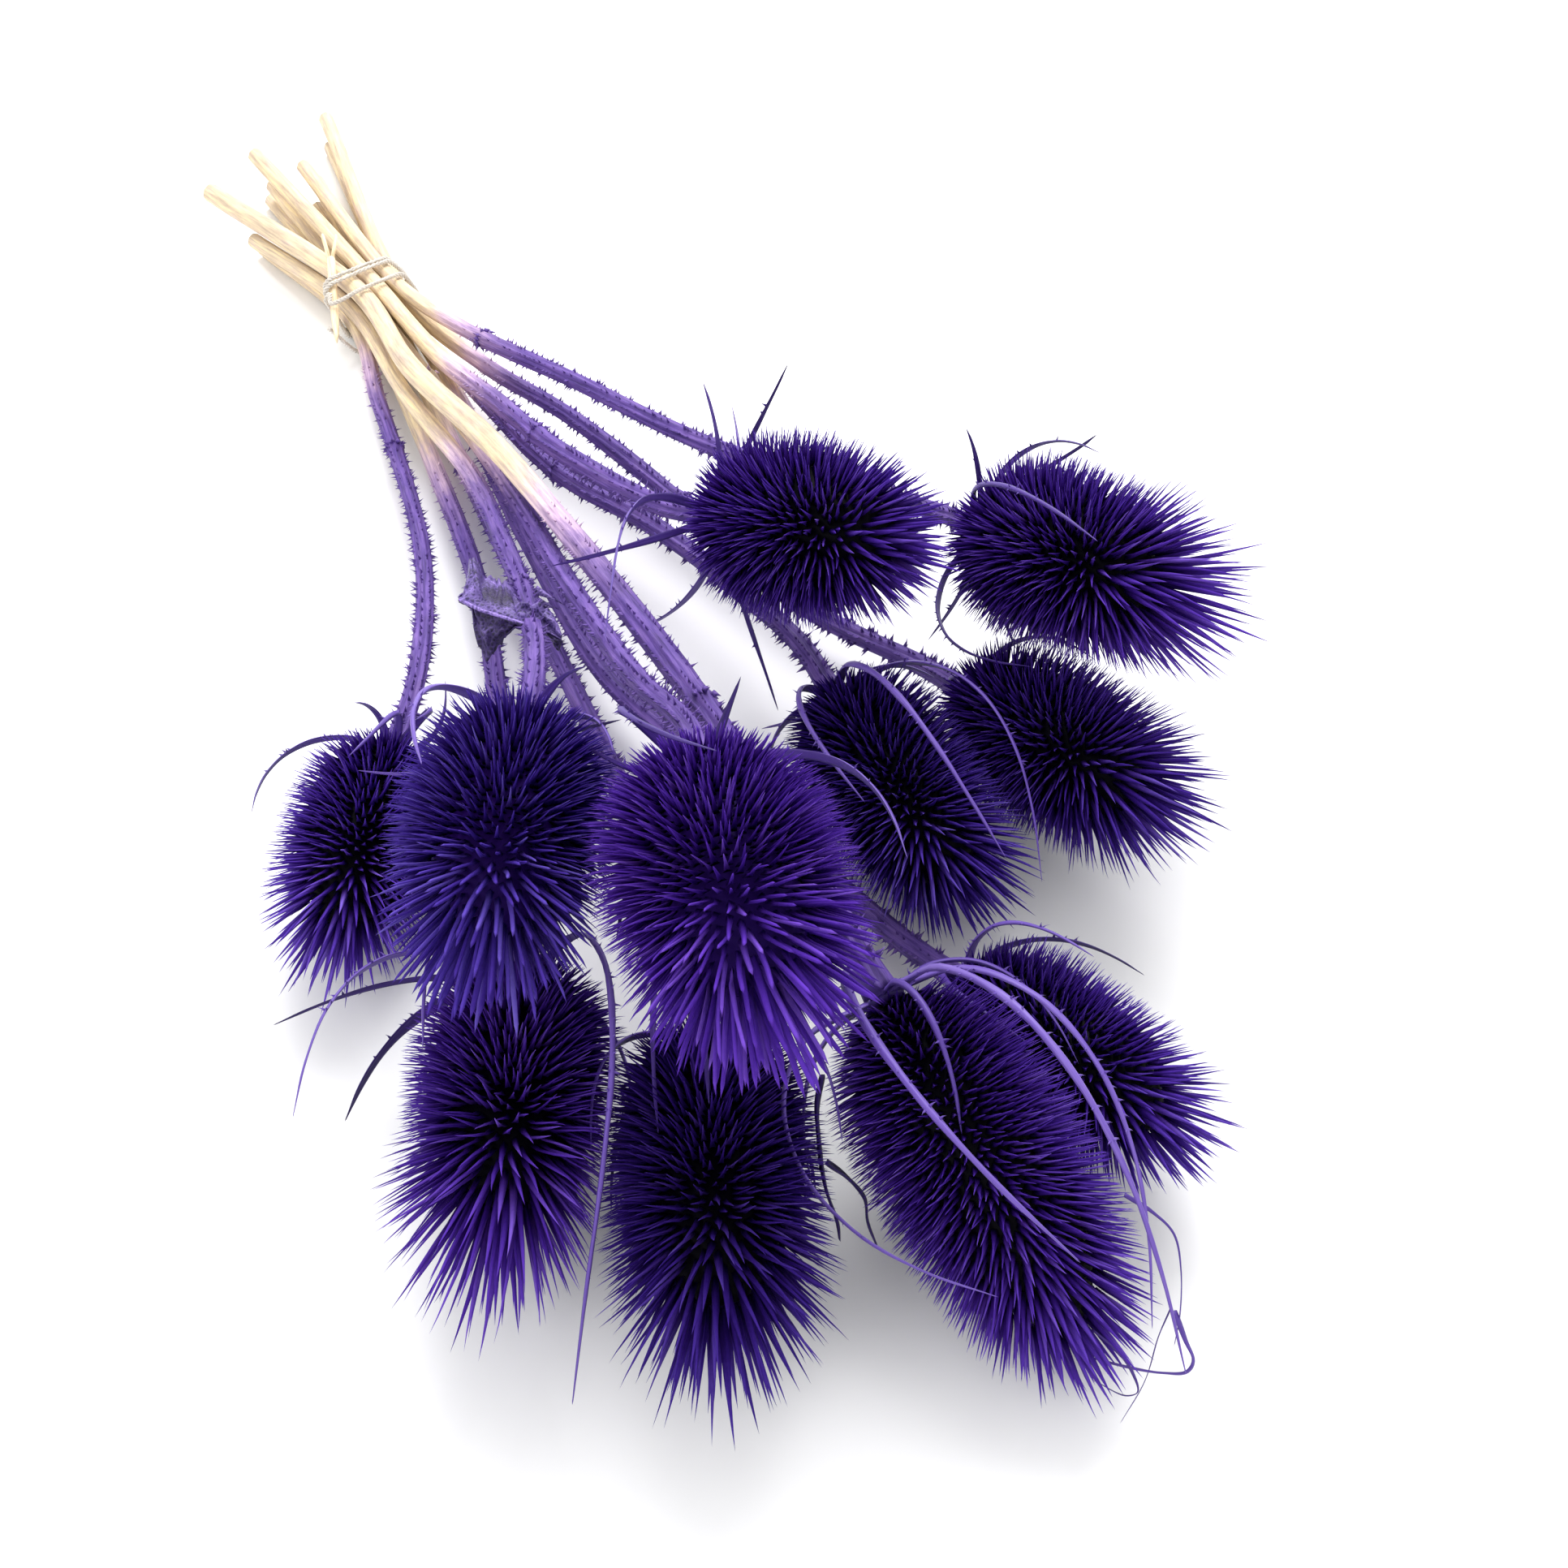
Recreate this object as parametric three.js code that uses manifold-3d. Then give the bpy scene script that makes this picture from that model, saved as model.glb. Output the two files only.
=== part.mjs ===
// A bunch of eleven dried teasels, dyed violet from the heads down and tied with string.
// Millimetres, +Z up. The bunch lies on the plane z = 0, heads towards -Y, cut ends towards +Y.

import * as THREE from 'three';
import Module from 'manifold-3d';

const wasm = await Module();
wasm.setup();

// Driving dimensions

const TIE_Y = -38;
const TIE_X = -4;
const TIE_HEIGHT = 11;
const GAP = 0.3;
const CLEARANCE = 0.4;

const STEM_SIDES = 8;
const FURROW = 0.86;
const STEM_GROWTH = 1.06;
const STEM_FULL_GROWTH_Y = -200;
const STEM_FLARE = 1.25;
const STRAIGHT_UNDER_HEAD = 25;
const PRICKLES_PER_STEM = 8;
const PRICKLE_LENGTH = 2.2;
const PRICKLE_WIDTH = 1.6;
const PRICKLE_FOOT_DEPTH = 0.8;
const PRICKLE_HOOK = 0.5;
const BARE_LENGTH_PAST_TIE = 60;

const WHORL_THICKNESS = 3;
const WHORL_RADIUS = 5.2;
const WHORL_SIDES = 7;
const WHORL_FACE_SHARE = 0.8;
const BRACT_ROOT_RADIUS = 3.6;
const BRACT_STEPS = 6;
const BRACT_WIDTH = 2.6;
const BRACT_TIP_WIDTH = 0.9;
const BRACT_THICKNESS = 1.3;

const CORE_WIDEST_AT = 0.42;
const CORE_ROUNDNESS = 2.3;
const CORE_BASE_FULLNESS = 0.93;
const AWN_COLUMNS = 12;
const AWN_ROWS = 11;
const AWN_BACKWARD_LEAN = 100;
const AWN_SCATTER = 6;

const STRING_RADIUS = 0.8;
const STRING_CORNER_RADIUS = 0.92;
const STRING_SIDES = 4;
const STRING_STEP = 20;
const STRING_TILT = 0.45;

const PEG_RADIUS = 1.4;

// Each teasel of the bunch: where its head sits, how the head points, its size, the route of its
// stem from the cut end through the tie, and its bracts.
// Heading turns from -Y towards +X, pitch lifts the tip, both in degrees.
// A bract is [azimuth round the head from its top, lean from the head's axis, curl towards the tip,
// sway to the side, length].

const TEASELS = [
  {
    name: '01', base: [42, -237, 55], heading: 25, pitch: 22,
    length: 58, radius: 16, awn: 10, tuft: 17, stemRadius: 2.8,
    route: [[-22, 56, 19], [-4, TIE_Y, 17.8], [2, -99, 26], [9, -134, 32], [17, -173, 38]],
    bracts: [
      [10, 70, -10, -20, 35], [75, 115, -20, -15, 40], [45, 85, 30, -20, 40], [-45, 85, 45, -70, 90],
      [-80, 100, -5, 15, 50], [-150, 105, -55, -5, 50], [-165, 80, 25, 15, 50], [165, 75, 0, 10, 28],
      [110, 80, 70, 0, 45],
    ],
  },
  {
    name: '02', base: [107, -262, 48], heading: 14, pitch: 19,
    length: 60, radius: 16.5, awn: 10, tuft: 31, stemRadius: 2.5,
    route: [[-8, 42, 19], [2.2, TIE_Y, 17.8], [13, -82, 24], [34, -130, 30], [60, -191, 38]],
    bracts: [
      [-5, 75, 10, -25, 35], [30, 120, 125, 10, 45], [65, 95, 75, -35, 40], [-25, 75, 80, -15, 80],
      [-115, 105, 115, -5, 65], [-150, 95, -15, 15, 30], [-175, 90, 30, 0, 30], [125, 85, 75, 0, 45],
    ],
  },
  {
    name: '03', base: [90, -292, 20], heading: 11, pitch: 16,
    length: 62, radius: 15, awn: 9.5, tuft: 25, stemRadius: 2.7,
    route: [
      [10, 86, 11], [5.2, TIE_Y, 11.3], [17, -92, 15], [33, -128, 15], [50, -177, 13],
      [67, -235, 12],
    ],
    bracts: [
      [-40, 90, 70, 20, 20], [40, 80, 85, 0, 45], [100, 80, 90, 0, 50], [160, 85, 75, 0, 35],
      [-100, 85, 85, 0, 32], [-140, 80, 75, 0, 35],
    ],
  },
  {
    name: '04', base: [54, -284, 25], heading: 1, pitch: 1,
    length: 66, radius: 15, awn: 9, tuft: 22, stemRadius: 2.7,
    route: [
      [-4, 44, 11], [-1, TIE_Y, 11.3], [9, -100, 16], [20, -159, 19], [36, -194, 21],
      [47, -230, 23],
    ],
    bracts: [
      [0, 75, 105, 10, 90], [-45, 85, 100, 0, 65], [85, 85, 95, 15, 35], [50, 75, 105, 5, 90],
      [-130, 110, -15, 5, 20], [65, 105, 85, -5, 28], [140, 85, 80, 0, 40], [-95, 90, 80, 0, 40],
    ],
  },
  {
    name: '05', base: [-58, -258, 25], heading: -30, pitch: -3,
    length: 52, radius: 13.5, awn: 9, tuft: 20, stemRadius: 2.5,
    route: [
      [-30, 22, 2.8], [-13.4, TIE_Y, 5], [-17.5, -86, 7], [-20, -118, 9], [-24.5, -159, 13],
      [-31, -191, 17],
    ],
    bracts: [
      [15, 110, 120, -30, 35], [-80, 100, 110, 20, 50], [-15, 125, 75, 0, 20], [40, 120, 95, -30, 35],
      [85, 125, -70, -15, 25], [150, 85, 75, 0, 35], [-140, 90, 70, 0, 30],
    ],
  },
  {
    name: '06', base: [-35, -307, 68], heading: -24, pitch: 8,
    length: 60, radius: 16, awn: 10, tuft: 22, stemRadius: 2.6,
    route: [
      [-33, 18, 9], [-13.4, TIE_Y, 11.3], [-11, -100, 17], [-6, -154, 24], [-9, -200, 34],
      [-13.5, -237, 44.5],
    ],
    bracts: [
      [-40, 85, 95, 20, 65], [30, 120, 65, 15, 25], [100, 120, 0, -5, 20], [-120, 80, -30, 25, 40],
      [160, 85, 75, 0, 35], [60, 90, 75, 0, 35], [-165, 85, 75, 0, 35],
    ],
  },
  {
    name: '07', base: [-7, -347, 81], heading: -15, pitch: 18,
    length: 62, radius: 17.5, awn: 11, tuft: 24, stemRadius: 2.7,
    route: [
      [-19, 48, 10.5], [-7.2, TIE_Y, 11.3], [-2, -100, 18], [1.5, -154, 25], [1, -194, 33.5],
      [-1, -236, 44], [-2, -290, 60],
    ],
    bracts: [
      [-40, 105, 140, 40, 65], [30, 125, 25, -5, 20], [80, 110, 110, 25, 60], [-85, 110, -25, 10, 25],
      [-110, 95, -20, 20, 20], [-160, 95, 80, -5, 80], [130, 90, 80, 0, 45], [-135, 90, 75, 0, 40],
    ],
  },
  {
    name: '08', base: [-50, -339, 21], heading: -20, pitch: 11,
    length: 64, radius: 15.5, awn: 10, tuft: 34, stemRadius: 2.7,
    route: [
      [-20, 52, 2.8], [-7.2, TIE_Y, 5], [-9, -86, 6.5], [-11, -128, 9], [-15.5, -190, 12],
      [-25.5, -242, 14],
    ],
    bracts: [
      [-60, 100, 105, -20, 75], [-78, 95, 45, -5, 55], [-100, 100, 80, -15, 50], [-25, 110, 135, -10, 70],
      [45, 75, 130, 30, 115], [110, 85, 85, 0, 45], [170, 85, 80, 0, 35],
    ],
  },
  {
    name: '09', base: [-18, -372, 22], heading: -18, pitch: 9,
    length: 68, radius: 16, awn: 10, tuft: 27, stemRadius: 2.7,
    route: [[-6, 40, 2.8], [-1, TIE_Y, 5], [-2, -100, 7], [-3, -200, 8], [-5, -290, 11]],
    bracts: [
      [0, 80, 90, 0, 50], [60, 85, 90, 10, 55], [120, 80, 80, 0, 45], [180, 85, 75, 0, 35],
      [-120, 80, 80, 0, 45], [-60, 85, 90, -10, 50],
    ],
  },
  {
    name: '10', base: [19, -389, 41], heading: 7, pitch: -18,
    length: 77, radius: 16, awn: 10, tuft: 16, stemRadius: 3.3,
    route: [
      [-41, 46, 14], [-10.6, TIE_Y, 17.8], [-8, -100, 26], [1, -160, 36], [5, -210, 44],
      [9, -278, 54], [12, -320, 56],
    ],
    bracts: [
      [-30, 100, 105, 20, 115], [0, 85, 100, -10, 50], [20, 80, 115, 15, 115], [70, 100, 105, 0, 50],
      [-90, 88, 130, 20, 95], [-112, 90, 75, 15, 45], [45, 75, 100, 10, 100], [165, 85, 85, 0, 35],
    ],
  },
  {
    name: '11', base: [47, -375, 17], heading: 18, pitch: 9,
    length: 58, radius: 13, awn: 8.5, tuft: 18, stemRadius: 2.7,
    route: [[9, 80, 2.8], [5.2, TIE_Y, 5], [6, -100, 8.5], [3, -180, 14], [5, -240, 14], [15, -275, 14]],
    bracts: [
      [125, 110, 15, -10, 25], [20, 85, 85, 0, 45], [75, 85, 85, 0, 45], [-40, 80, 90, 0, 45],
      [-100, 85, 90, 0, 40], [-150, 85, 100, 0, 30],
    ],
  },
];

// Colours

const BRISTLE_VIOLET = 0x3a1a86;
const BRACT_VIOLET = 0x5a3fa0;
const STEM_LILAC = 0x8d76b4;
const STRING_WHITE = 0xe9e2d4;
const PEG_CREAM = 0xefdcb2;

// Helpers

const radians = (degrees) => THREE.MathUtils.degToRad(degrees);
const vector = (x, y, z) => new THREE.Vector3(x, y, z);

// A point moved along any number of directions: moved(p, u, 2, v, 3) is p + 2u + 3v.
function moved(point, ...steps) {
  const result = point.clone();
  for (let i = 0; i < steps.length; i += 2) result.addScaledVector(steps[i], steps[i + 1]);
  return result;
}

// The same numbers between 0 and 1 on every run.
function seededRandom(seed) {
  let state = seed >>> 0;
  return () => {
    state = (state + 0x6d2b79f5) >>> 0;
    let mixed = Math.imul(state ^ (state >>> 15), 1 | state);
    mixed = (mixed + Math.imul(mixed ^ (mixed >>> 7), 61 | mixed)) ^ mixed;
    return ((mixed ^ (mixed >>> 14)) >>> 0) / 4294967296;
  };
}

// A closed solid from points and triangles, turned so that its faces point out.
function solid(points, triangles) {
  let volume = 0;
  for (const [a, b, c] of triangles) {
    volume += points[a].dot(points[b].clone().cross(points[c]));
  }
  const outward = volume > 0 ? triangles : triangles.map(([a, b, c]) => [a, c, b]);
  const vertProperties = new Float32Array(points.flatMap((p) => [p.x, p.y, p.z]));
  const triVerts = new Uint32Array(outward.flat());
  return new wasm.Manifold(new wasm.Mesh({ numProp: 3, vertProperties, triVerts }));
}

// Rings of points joined along their length, each end closed by a point on or past the last ring.
function sweep(rings, startPoint, endPoint) {
  const sides = rings[0].length;
  const points = [...rings.flat(), startPoint, endPoint];
  const start = points.length - 2;
  const end = points.length - 1;
  const last = (rings.length - 1) * sides;
  const triangles = [];
  for (let i = 0; i < sides; i += 1) {
    const next = (i + 1) % sides;
    for (let ring = 0; ring < last; ring += sides) {
      triangles.push([ring + i, ring + next, ring + sides + next]);
      triangles.push([ring + i, ring + sides + next, ring + sides + i]);
    }
    triangles.push([start, next, i]);
    triangles.push([end, last + i, last + next]);
  }
  return solid(points, triangles);
}

// Directions for a section across a path: to the side, and up.
function sectionFrame(tangent) {
  const side = tangent.clone().cross(vector(0, 0, 1)).normalize();
  return { side, up: side.clone().cross(tangent) };
}

function joined(pieces) {
  return pieces.reduce((whole, piece) => whole.add(piece));
}

function meshOf(manifold, name, color, roughness) {
  const { vertProperties, triVerts } = manifold.getMesh();
  const geometry = new THREE.BufferGeometry();
  geometry.setAttribute('position', new THREE.BufferAttribute(new Float32Array(vertProperties), 3));
  geometry.setIndex(new THREE.BufferAttribute(new Uint32Array(triVerts), 1));
  geometry.computeVertexNormals();
  const material = new THREE.MeshStandardMaterial({ color, roughness, metalness: 0 });
  const mesh = new THREE.Mesh(geometry, material);
  mesh.name = name;
  return mesh;
}

// Distance between two straight lengths, a to b and c to d.
function lengthsApart(a, b, c, d) {
  const first = b.clone().sub(a);
  const second = d.clone().sub(c);
  const between = a.clone().sub(c);
  const ff = first.dot(first);
  const ss = Math.max(second.dot(second), 1e-9);
  const fs = first.dot(second);
  const fb = first.dot(between);
  const sb = second.dot(between);
  const spread = ff * ss - fs * fs;
  let along = spread > 1e-9 ? THREE.MathUtils.clamp((fs * sb - ss * fb) / spread, 0, 1) : 0;
  const across = THREE.MathUtils.clamp((fs * along + sb) / ss, 0, 1);
  along = THREE.MathUtils.clamp((fs * across - fb) / Math.max(ff, 1e-9), 0, 1);
  return moved(a, first, along).distanceTo(moved(c, second, across));
}

// The head's own directions: along its axis, up, and to the side.

function headFrame({ base, heading, pitch }) {
  const turn = radians(heading);
  const lift = radians(pitch);
  const axis = vector(
    Math.sin(turn) * Math.cos(lift),
    -Math.cos(turn) * Math.cos(lift),
    Math.sin(lift),
  );
  const up = moved(vector(0, 0, 1), axis, -axis.z).normalize();
  const side = up.clone().cross(axis);
  return { base: vector(...base), axis, up, side };
}

// Straight out from the head's axis at an angle round it, and the direction round it there.
function around(frame, angle) {
  const out = moved(vector(0, 0, 0), frame.up, Math.cos(angle), frame.side, Math.sin(angle));
  const round = moved(vector(0, 0, 0), frame.up, -Math.sin(angle), frame.side, Math.cos(angle));
  return { out, round };
}

// Core: an egg, widest a little below its middle. x runs from 0 at the base to 1 at the tip.
function coreRadius(teasel, x) {
  const above = (x - CORE_WIDEST_AT) / (1 - CORE_WIDEST_AT);
  const below = ((CORE_WIDEST_AT - x) / CORE_WIDEST_AT) * CORE_BASE_FULLNESS;
  const y = x > CORE_WIDEST_AT ? above : below;
  return teasel.radius * Math.sqrt(Math.max(0, 1 - y ** CORE_ROUNDNESS));
}

// Distance from a point to a core, taken as a row of balls along its axis.
function coreDistance(teasel, point) {
  const { base, axis } = teasel.frame;
  let nearest = Infinity;
  for (let x = 0.08; x < 1; x += 0.1) {
    const centre = moved(base, axis, x * teasel.length);
    nearest = Math.min(nearest, point.distanceTo(centre) - coreRadius(teasel, x));
  }
  return nearest;
}

// Stem: a ridged tube along a smooth curve, cut square at one end, swollen under the head.

function stemPath(teasel) {
  const { base, axis } = teasel.frame;
  const points = teasel.route.map((place) => vector(...place));
  points.push(moved(base, axis, -STRAIGHT_UNDER_HEAD));
  points.push(moved(base, axis, -WHORL_THICKNESS - GAP));
  const curve = new THREE.CatmullRomCurve3(points, false, 'centripetal');
  const steps = 2 * (points.length - 1);
  const stations = [];
  for (let i = 0; i <= steps; i += 1) {
    const u = i / steps;
    const centre = curve.getPoint(u);
    const growth = THREE.MathUtils.smoothstep(-centre.y, -TIE_Y, -STEM_FULL_GROWTH_Y);
    const flare = i === steps ? STEM_FLARE : 1;
    const radius = teasel.stemRadius * (1 + (STEM_GROWTH - 1) * growth) * flare;
    stations.push({ centre, radius, ...sectionFrame(curve.getTangent(u)) });
  }
  return stations;
}

function stemRing({ centre, radius, side, up }) {
  const ring = [];
  for (let i = 0; i < STEM_SIDES; i += 1) {
    const angle = (2 * Math.PI * i) / STEM_SIDES;
    const reach = radius * (i % 2 === 0 ? 1 : FURROW);
    ring.push(moved(centre, side, reach * Math.cos(angle), up, reach * Math.sin(angle)));
  }
  return ring;
}

// Prickle: a three-sided spine on a ridge, hooked slightly back towards the cut end.
function prickle(root, out, along) {
  const foot = moved(root, out, -PRICKLE_FOOT_DEPTH);
  const tip = moved(root, out, PRICKLE_LENGTH, along, -PRICKLE_HOOK);
  const round = out.clone().cross(along);
  const corners = [0, 1, 2].map((i) => {
    const angle = (2 * Math.PI * i) / 3;
    const width = PRICKLE_WIDTH / 1.5;
    return moved(foot, along, width * Math.cos(angle), round, width * Math.sin(angle) * 0.8);
  });
  return {
    root,
    tip,
    body: solid([...corners, tip], [[0, 1, 2], [0, 3, 1], [1, 3, 2], [2, 3, 0]]),
  };
}

// Prickles go round the ridges by a half-turn and a bit, evenly along the dyed part of the stem.
function placePrickles(teasel, others) {
  const stations = teasel.stations;
  const first = stations.findIndex(({ centre }) => centre.y < TIE_Y - BARE_LENGTH_PAST_TIE);
  const last = stations.length - 2;
  const placed = [];
  for (let i = 0; i < PRICKLES_PER_STEM; i += 1) {
    const place = first + ((last - first) * (i + 0.5)) / PRICKLES_PER_STEM;
    const station = stations[Math.floor(place)];
    const next = stations[Math.floor(place) + 1];
    const share = place - Math.floor(place);
    const ridge = (2 * Math.PI * 2 * ((i * 3 + Number(teasel.name)) % (STEM_SIDES / 2))) / STEM_SIDES;
    const out = moved(vector(0, 0, 0), station.side, Math.cos(ridge), station.up, Math.sin(ridge));
    const along = next.centre.clone().sub(station.centre).normalize();
    const centre = station.centre.clone().lerp(next.centre, share);
    const radius = THREE.MathUtils.lerp(station.radius, next.radius, share);
    const candidate = prickle(moved(centre, out, radius * 0.97), out, along);
    const reach = (bar) => lengthsApart(candidate.root, candidate.tip, bar.from, bar.to) - bar.radius;
    const isClear = candidate.tip.z > 0.5 && others.every((bar) => reach(bar) > CLEARANCE);
    if (isClear) placed.push(candidate);
  }
  return placed;
}

// Bract: a keeled blade that leaves the whorl sideways, curls along the head and ends in a point.

function bractPath(teasel, [azimuth, lean, curl, sway, length]) {
  const { base, axis } = teasel.frame;
  const { out, round } = around(teasel.frame, radians(azimuth));
  const step = length / BRACT_STEPS;
  const stations = [];
  let centre = moved(base, out, BRACT_ROOT_RADIUS, axis, -WHORL_THICKNESS / 2);
  for (let i = 0; i <= BRACT_STEPS; i += 1) {
    const share = i / BRACT_STEPS;
    const angle = radians(lean - curl * share * (2 - share));
    const swing = radians(sway * share);
    const inPlane = moved(vector(0, 0, 0), axis, Math.cos(angle), out, Math.sin(angle));
    const back = moved(vector(0, 0, 0), axis, -Math.sin(angle), out, Math.cos(angle));
    const along = moved(vector(0, 0, 0), inPlane, Math.cos(swing), round, Math.sin(swing));
    const width = THREE.MathUtils.lerp(BRACT_WIDTH, BRACT_TIP_WIDTH, share ** 1.2);
    const thickness = THREE.MathUtils.lerp(BRACT_THICKNESS, BRACT_TIP_WIDTH, share);
    stations.push({ centre, back, across: along.clone().cross(back), width, thickness });
    centre = moved(centre, along, step);
  }
  return stations;
}

function bract(stations) {
  const tip = stations[stations.length - 1].centre;
  const rings = stations.slice(0, -1).map(({ centre, back, across, width, thickness }) => [
    moved(centre, across, width / 2),
    moved(centre, across, -width / 2),
    moved(centre, back, thickness),
  ]);
  return sweep(rings, stations[0].centre, tip);
}

function whorl(teasel) {
  const { base, axis } = teasel.frame;
  const rings = [WHORL_THICKNESS, WHORL_THICKNESS / 2, 0].map((depth, i) => {
    const radius = WHORL_RADIUS * (i === 1 ? 1 : WHORL_FACE_SHARE);
    return Array.from({ length: WHORL_SIDES }, (_, k) => {
      const { out } = around(teasel.frame, (2 * Math.PI * k) / WHORL_SIDES);
      return moved(base, out, radius, axis, -depth);
    });
  });
  return sweep(rings, moved(base, axis, -WHORL_THICKNESS), base);
}

// Awns: the core's surface is a lattice of triangles, and every one of them is drawn out to a point.

function awnAngle(x) {
  return radians(AWN_BACKWARD_LEAN * Math.cos((Math.PI / 2) * x ** 2.2));
}

function awnLength(teasel, x) {
  const towardsTip = THREE.MathUtils.clamp((x - 0.6) / 0.4, 0, 1) ** 1.5;
  const towardsBase = Math.min(1, 0.6 + 2.5 * x);
  return THREE.MathUtils.lerp(teasel.awn, teasel.tuft, towardsTip) * towardsBase;
}

function latticeOf(teasel) {
  const { base, axis } = teasel.frame;
  const foot = moved(base, axis, GAP);
  const points = [];
  for (let row = 0; row < AWN_ROWS; row += 1) {
    const even = row / AWN_ROWS;
    const x = (even + (1 - Math.cos(Math.PI * even)) / 2) / 2;
    for (let column = 0; column < AWN_COLUMNS; column += 1) {
      const angle = (2 * Math.PI * (column + (row % 2) / 2)) / AWN_COLUMNS;
      const { out } = around(teasel.frame, angle);
      points.push(moved(foot, axis, x * (teasel.length - GAP), out, coreRadius(teasel, x)));
    }
  }
  const pole = points.length;
  points.push(moved(base, axis, teasel.length));
  const cells = [];
  for (let row = 0; row < AWN_ROWS; row += 1) {
    for (let column = 0; column < AWN_COLUMNS; column += 1) {
      const next = (column + 1) % AWN_COLUMNS;
      const here = row * AWN_COLUMNS + column;
      const beside = row * AWN_COLUMNS + next;
      const ahead = here + AWN_COLUMNS;
      const aheadBeside = beside + AWN_COLUMNS;
      if (row === AWN_ROWS - 1) cells.push([here, pole, beside]);
      else if (row % 2 === 0) cells.push([here, ahead, beside], [beside, ahead, aheadBeside]);
      else cells.push([here, aheadBeside, beside], [here, ahead, aheadBeside]);
    }
  }
  return { foot, points, cells };
}

// How much of its length an awn can have: it stays above the ground, on its own side of the middle
// between two cores, and clear of every stem and bract.
function awnShare(teasel, corners, root, reach, bars, neighbours) {
  const feet = [root, ...corners];
  corners.forEach((corner, i) => feet.push(corner.clone().lerp(corners[(i + 1) % 3], 0.5)));
  for (let share = 1; share > 0.05; share -= 0.09) {
    const tip = moved(root, reach, share);
    const isAboveGround = tip.z >= 0;
    const isOnOwnSide = [0.25, 0.5, 0.75, 1].every((part) => feet.every((foot) => {
      const point = foot.clone().lerp(tip, part);
      const own = coreDistance(teasel, point);
      return neighbours.every((other) => coreDistance(other, point) - own > CLEARANCE);
    }));
    const isClear = isAboveGround && isOnOwnSide && bars.every((bar) => feet.every((foot) => (
      lengthsApart(foot, tip, bar.from, bar.to) > bar.radius + CLEARANCE
    )));
    if (isClear) return share;
  }
  return 0;
}

function head(teasel, bars, others) {
  const { base, axis } = teasel.frame;
  const random = seededRandom(Number(teasel.name));
  const middle = moved(base, axis, teasel.length / 2);
  const span = teasel.length / 2 + teasel.radius + teasel.tuft;
  const nearby = bars.filter((bar) => (
    lengthsApart(middle, middle, bar.from, bar.to) < span + bar.radius
  ));
  const neighbours = others.filter((other) => (
    moved(other.frame.base, other.frame.axis, other.length / 2).distanceTo(middle) < 2 * span
  ));
  const { foot, points, cells } = latticeOf(teasel);
  const triangles = [];
  for (const [a, b, c] of cells) {
    const corners = [points[a], points[b], points[c]];
    const root = corners[0].clone().add(corners[1]).add(corners[2]).divideScalar(3);
    const fromBase = root.clone().sub(base);
    const x = fromBase.dot(axis) / teasel.length;
    const out = moved(fromBase, axis, -x * teasel.length).normalize();
    const round = axis.clone().cross(out);
    const angle = awnAngle(x) + radians(AWN_SCATTER) * (random() - 0.5);
    const swing = radians(AWN_SCATTER) * (random() - 0.5);
    const length = awnLength(teasel, x) * (0.9 + 0.2 * random());
    const reach = moved(
      vector(0, 0, 0), axis, Math.cos(angle), out, Math.sin(angle), round, swing,
    ).setLength(length);
    const lowest = reach.z < 0 ? Math.min(1, -root.z / reach.z) : 1;
    reach.multiplyScalar(lowest * (lowest < 1 ? 0.9999 : 1));
    const share = awnShare(teasel, corners, root, reach, nearby, neighbours);
    if (share === 0) {
      triangles.push([a, b, c]);
    } else {
      const tip = points.push(moved(root, reach, share)) - 1;
      triangles.push([a, b, tip], [b, c, tip], [c, a, tip]);
    }
  }
  const centre = points.push(foot) - 1;
  for (let column = 0; column < AWN_COLUMNS; column += 1) {
    triangles.push([centre, column, (column + 1) % AWN_COLUMNS]);
  }
  return solid(points, triangles);
}

// Withered leaf: a crumpled blade with a torn edge, still on the stem of one teasel.

const LEAF_TEASEL = '06';
const LEAF_STATION = 10;
const LEAF_LENGTH = 27;
const LEAF_STEM_AT = 0.36;
const LEAF_WIDTH = 15;
const LEAF_THICKNESS = 1.1;
const LEAF_ACROSS = 4;
const LEAF_ALONG = 6;

// u runs along the leaf, v across it. The blade arches over the stem, is crumpled all over, and one
// corner hangs.
function leafPoint(station, u, v, lift) {
  const crease = 2 * Math.sin(7 * u + 1.1) * Math.cos(4 * v) + 1.2 * Math.sin(9 * v + 5 * u);
  const flap = 6 * Math.exp(-(((u - 0.75) / 0.2) ** 2)) * Math.max(0, 2 * v - 1);
  const outline = 0.35 + 0.65 * Math.sin(Math.PI * u) ** 0.6;
  const torn = 1 + 0.25 * Math.sin(16 * u + 2) * Math.abs(2 * v - 1);
  const across = (v - 0.45) * LEAF_WIDTH * outline * torn;
  const along = LEAF_LENGTH * (u - LEAF_STEM_AT);
  const awayFromStem = Math.min(1, Math.abs(along) / 6);
  const rise = station.radius + 0.2 + crease * awayFromStem + awayFromStem * 1.5 - flap + lift;
  const tangent = station.up.clone().cross(station.side).normalize();
  return moved(station.centre, station.side, along, station.up, rise, tangent, across);
}

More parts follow.
